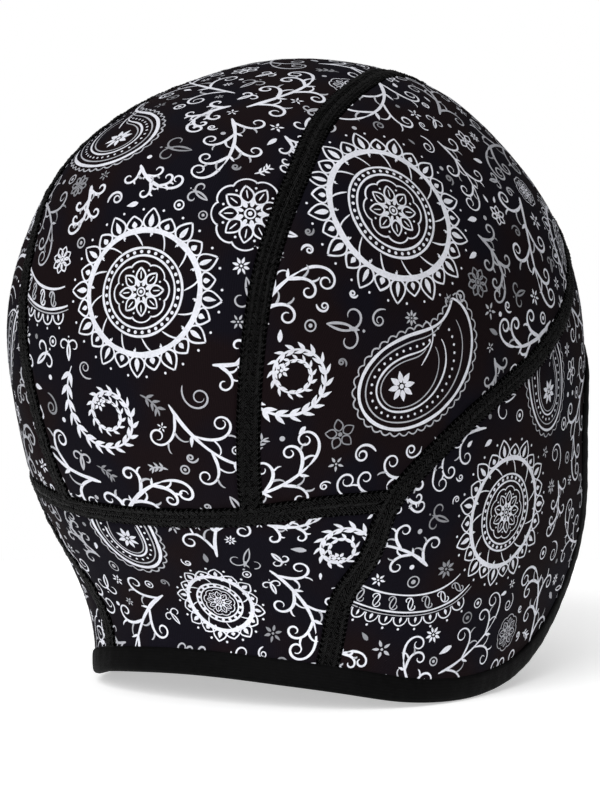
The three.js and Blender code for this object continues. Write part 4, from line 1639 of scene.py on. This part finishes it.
# Where the camera looks, in metres, and where it stands: degrees from straight back to the wearer's right,
# degrees up, and metres away
MIDDLE = Vector((0, 0, -0.0884))
CAMERA_BEARING = 32.0
CAMERA_RISE = 3.2
CAMERA_AWAY = 1.1
# Lens and sensor in millimetres, and the shift in pixels of a picture 600 wide and 800 high
LENS = 159.9
SENSOR = 36.0
LONG_SIDE = 800
SHIFT_PIXELS = (-7.3, -49.0)
# The floor: corners of its rim, gap under the cap, roughness and shine
FLOOR_CORNERS = 96
FLOOR_GAP = 0.0003
FLOOR_ROUGHNESS, FLOOR_SHINE = 0.9, 0.1
# Lights: shares of towards the camera, the picture's right and up, and how wide the light is in degrees
LIGHTS = {"key": ((0.9, -0.36, 0.48), 50), "top": ((0.1, -0.1, 1.0), 80)}
WHITE = (1, 1, 1, 1)


def camera_axes():
    """Towards the camera, and the picture's right and up."""
    bearing, rise = math.radians(CAMERA_BEARING), math.radians(CAMERA_RISE)
    toward = Vector((-math.sin(bearing) * math.cos(rise), math.cos(bearing) * math.cos(rise), math.sin(rise)))
    right = Vector((-math.cos(bearing), -math.sin(bearing), 0))
    return toward, right, toward.cross(right)


def soft_light(name, toward, strength, spread):
    """A wide light that is the same everywhere, shining from one side."""
    deselect()
    bpy.ops.object.light_add(type="SUN", location=MIDDLE + toward.normalized())
    light = bpy.context.object
    light.name = name
    light.data.energy = strength
    light.data.angle = math.radians(spread)
    light.rotation_euler = toward.to_track_quat("Z", "Y").to_euler()


def make_floor(settings):
    """A white disc just under the cap, with a glow of its own that hides its rim."""
    deselect()
    bpy.ops.mesh.primitive_circle_add(
        vertices=FLOOR_CORNERS,
        radius=settings.reach,
        fill_type="NGON",
        location=(0, 0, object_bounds()[0][2] - FLOOR_GAP),
    )
    floor = bpy.context.object
    floor.name = "floor"
    material = bpy.data.materials.new("floor")
    material.use_nodes = True
    shader = material.node_tree.nodes["Principled BSDF"]
    shader.inputs["Base Color"].default_value = (*settings.floor, 1)
    shader.inputs["Roughness"].default_value = FLOOR_ROUGHNESS
    shader.inputs["Specular IOR Level"].default_value = FLOOR_SHINE
    shader.inputs["Emission Color"].default_value = WHITE
    shader.inputs["Emission Strength"].default_value = settings.glow
    floor.data.materials.append(material)
    floor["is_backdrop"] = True


def make_air(strength):
    """Faint light from all round, with white behind everything that is seen."""
    world = bpy.data.worlds.new("studio")
    world.use_nodes = True
    nodes, links = world.node_tree.nodes, world.node_tree.links
    seen = nodes["Background"]
    seen.inputs["Color"].default_value = WHITE
    seen.inputs["Strength"].default_value = 1.0
    lit = new_node(nodes, "ShaderNodeBackground", {"Color": WHITE, "Strength": strength})
    rays = nodes.new("ShaderNodeLightPath")
    mix = nodes.new("ShaderNodeMixShader")
    links.new(rays.outputs["Is Camera Ray"], mix.inputs[0])
    links.new(lit.outputs[0], mix.inputs[1])
    links.new(seen.outputs[0], mix.inputs[2])
    links.new(mix.outputs[0], nodes["World Output"].inputs["Surface"])
    bpy.context.scene.world = world


def make_stage(settings):
    """The floor, the lights and the camera at the picture's angle."""
    toward, right, up = camera_axes()
    make_floor(settings)
    for name, (shares, spread) in LIGHTS.items():
        direction = toward * shares[0] + right * shares[1] + up * shares[2]
        soft_light(name, direction, getattr(settings, name), spread)
    make_air(settings.air)
    bpy.context.scene.view_settings.view_transform = "Standard"
    deselect()
    bpy.ops.object.camera_add(location=MIDDLE + toward * CAMERA_AWAY)
    camera = bpy.context.object
    camera.rotation_euler = toward.to_track_quat("Z", "Y").to_euler()
    camera.data.lens = LENS
    camera.data.sensor_width = SENSOR
    camera.data.shift_x = SHIFT_PIXELS[0] / LONG_SIDE
    camera.data.shift_y = SHIFT_PIXELS[1] / LONG_SIDE
    bpy.context.scene.camera = camera


# Sizes and colours that a user would change
class CapSizes(bpy.types.PropertyGroup):
    cell: FloatProperty(
        name="Cloth cell", description="Length of the cloth's mesh faces", default=0.0024, unit="LENGTH"
    )
    band_cell: FloatProperty(
        name="Seam cell",
        description="Length of a seam band's and the binding's mesh faces",
        default=0.0012,
        unit="LENGTH",
    )
    stitch_pitch: FloatProperty(
        name="Stitch pitch",
        description="Distance between stitches along a seam",
        default=0.0016,
        unit="LENGTH",
    )
    thread: FloatProperty(
        name="Thread", description="Radius of the seam thread", default=0.00022, unit="LENGTH"
    )
    pucker: FloatProperty(
        name="Pucker",
        description="Height of the cloth's puckers beside a seam",
        default=0.00012,
        unit="LENGTH",
    )
    wave: FloatProperty(
        name="Slack", description="Height of the cloth's slack waves", default=0.00025, unit="LENGTH"
    )
    line: FloatProperty(
        name="Print line", description="Usual width of the ornament's lines", default=0.00056, unit="LENGTH"
    )
    ink: FloatProperty(
        name="Ink", description="How far the ornament stands off the cloth", default=0.00008, unit="LENGTH"
    )


class CapColours(bpy.types.PropertyGroup):
    cloth: FloatVectorProperty(
        name="Cloth",
        description="Ground of the printed cloth",
        subtype="COLOR",
        default=(0.0082, 0.0046, 0.0054),
    )
    cloth_cool: FloatVectorProperty(
        name="Cloth, cooler",
        description="Cooler patches of the cloth's ground",
        subtype="COLOR",
        default=(0.0052, 0.0046, 0.0080),
    )
    ink: FloatVectorProperty(
        name="Ink", description="Lines of the ornament", subtype="COLOR", default=(0.72, 0.73, 0.79)
    )
    # Near black, far darker than the printed cloth: painted shade in the gaps between the stitches
    seam: FloatVectorProperty(
        name="Seam",
        description="Cloth under the seam thread",
        subtype="COLOR",
        default=(0.0003, 0.0003, 0.0003),
    )
    thread: FloatVectorProperty(
        name="Thread", description="Seam thread", subtype="COLOR", default=(0.0056, 0.0056, 0.0056)
    )
    binding: FloatVectorProperty(
        name="Binding", description="Edge binding", subtype="COLOR", default=(0.0023, 0.0023, 0.0024)
    )
    fleece: FloatVectorProperty(
        name="Fleece", description="Brushed inner face", subtype="COLOR", default=(0.030, 0.028, 0.031)
    )


class StageSettings(bpy.types.PropertyGroup):
    floor: FloatVectorProperty(
        name="Floor", description="Colour of the floor", subtype="COLOR", default=(0.9, 0.9, 0.9)
    )
    glow: FloatProperty(
        name="Floor glow", description="Light that the floor gives off itself", default=0.46, min=0
    )
    key: FloatProperty(
        name="Key light", description="Strength of the light from the camera's side", default=2.7, min=0
    )
    top: FloatProperty(name="Top light", description="Strength of the light from above", default=0.8, min=0)
    air: FloatProperty(name="Air", description="Strength of the light from all round", default=0.14, min=0)
    reach: FloatProperty(name="Floor", description="Radius of the floor", default=0.34, unit="LENGTH")


def ride_and_replace(piece, node):
    """Hands a piece to the frame in the place of its CAD node."""
    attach(piece, "root")
    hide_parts(node)


class CAP_OT_panels(bpy.types.Operator):
    """Make the cloth panels"""

    bl_idname = "cap.panels"
    bl_label = "Cloth panels"

    def execute(self, context):
        cell = context.scene.cap_sizes.cell / MM
        lines = Lines(CLOTH_HALF, CLOTH_UP)
        cloths = [finish("printed_cloth"), finish("fleece")]
        for node, (sides, left) in PANELS.items():
            piece = cloth_panel(f"{node}_cloth", sides(lines), left, cell, cloths)
            ride_and_replace(piece, node)
        return {"FINISHED"}


class CAP_OT_seams(bpy.types.Operator):
    """Make the raised flat seams with their stitches"""

    bl_idname = "cap.seams"
    bl_label = "Flat seams"

    def execute(self, context):
        sizes = context.scene.cap_sizes
        for node, path in seam_paths().items():
            points, faces, uv = seam_band(path, sizes.band_cell / MM)
            threads, thread_faces, thread_uv = thread_mesh(path, sizes.stitch_pitch / MM, sizes.thread / MM)
            joined = faces + [tuple(i + len(points) for i in face) for face in thread_faces]
            index = [0] * len(faces) + [1] * len(thread_faces)
            piece = new_piece(
                f"{node}_stitched",
                np.concatenate([points, threads]),
                joined,
                [finish("seam_cloth"), finish("seam_thread")],
                np.concatenate([uv, thread_uv]),
                index,
            )
            ride_and_replace(piece, node)
        return {"FINISHED"}


class CAP_OT_binding(bpy.types.Operator):
    """Make the folded binding round the edge"""

    bl_idname = "cap.binding"
    bl_label = "Edge binding"

    def execute(self, context):
        points, faces, uv = binding_mesh(context.scene.cap_sizes.band_cell / MM)
        piece = new_piece("edge_binding_cloth", points, faces, [finish("binding_cloth")], uv)
        ride_and_replace(piece, "edge_binding")
        return {"FINISHED"}


class CAP_OT_print(bpy.types.Operator):
    """Draw the ornament on the panels"""

    bl_idname = "cap.print"
    bl_label = "Printed ornament"

    def execute(self, context):
        draw_ornament()
        return {"FINISHED"}


class CAP_OT_sheets(bpy.types.Operator):
    """Look up the stitched piece of every seam"""

    bl_idname = "cap.sheets"
    bl_label = "Cut sizes"

    def execute(self, context):
        state_sheets()
        return {"FINISHED"}


class CAP_OT_stage(bpy.types.Operator):
    """Make the floor, the lights and the camera"""

    bl_idname = "cap.stage"
    bl_label = "Floor, lights and camera"

    def execute(self, context):
        make_stage(context.scene.cap_stage)
        return {"FINISHED"}


STEPS = (CAP_OT_panels, CAP_OT_seams, CAP_OT_binding, CAP_OT_print, CAP_OT_sheets, CAP_OT_stage)


class CAP_PT_panel(bpy.types.Panel):
    """Sidebar panel with the cap's steps"""

    bl_idname = "CAP_PT_panel"
    bl_label = "Skull cap"
    bl_space_type = "VIEW_3D"
    bl_region_type = "UI"
    bl_category = "Cap"

    def draw(self, context):
        for group in (context.scene.cap_sizes, context.scene.cap_colours, context.scene.cap_stage):
            column = self.layout.column()
            for name in group.__annotations__:
                column.prop(group, name)
        for step in STEPS:
            self.layout.operator(step.bl_idname)


CLASSES = (CapSizes, CapColours, StageSettings, *STEPS, CAP_PT_panel)


def register():
    """The classes, and the settings on the scene."""
    for item in CLASSES:
        bpy.utils.register_class(item)
    bpy.types.Scene.cap_sizes = PointerProperty(type=CapSizes)
    bpy.types.Scene.cap_colours = PointerProperty(type=CapColours)
    bpy.types.Scene.cap_stage = PointerProperty(type=StageSettings)


def unregister():
    """Takes back what register adds."""
    del bpy.types.Scene.cap_sizes
    del bpy.types.Scene.cap_colours
    del bpy.types.Scene.cap_stage
    for item in reversed(CLASSES):
        bpy.utils.unregister_class(item)


def main():
    """Makes the cap and its stage."""
    register()
    bpy.ops.cap.panels()
    bpy.ops.cap.seams()
    bpy.ops.cap.binding()
    bpy.ops.cap.print()
    bpy.ops.cap.sheets()
    bpy.ops.cap.stage()


if __name__ == "__main__":
    main()
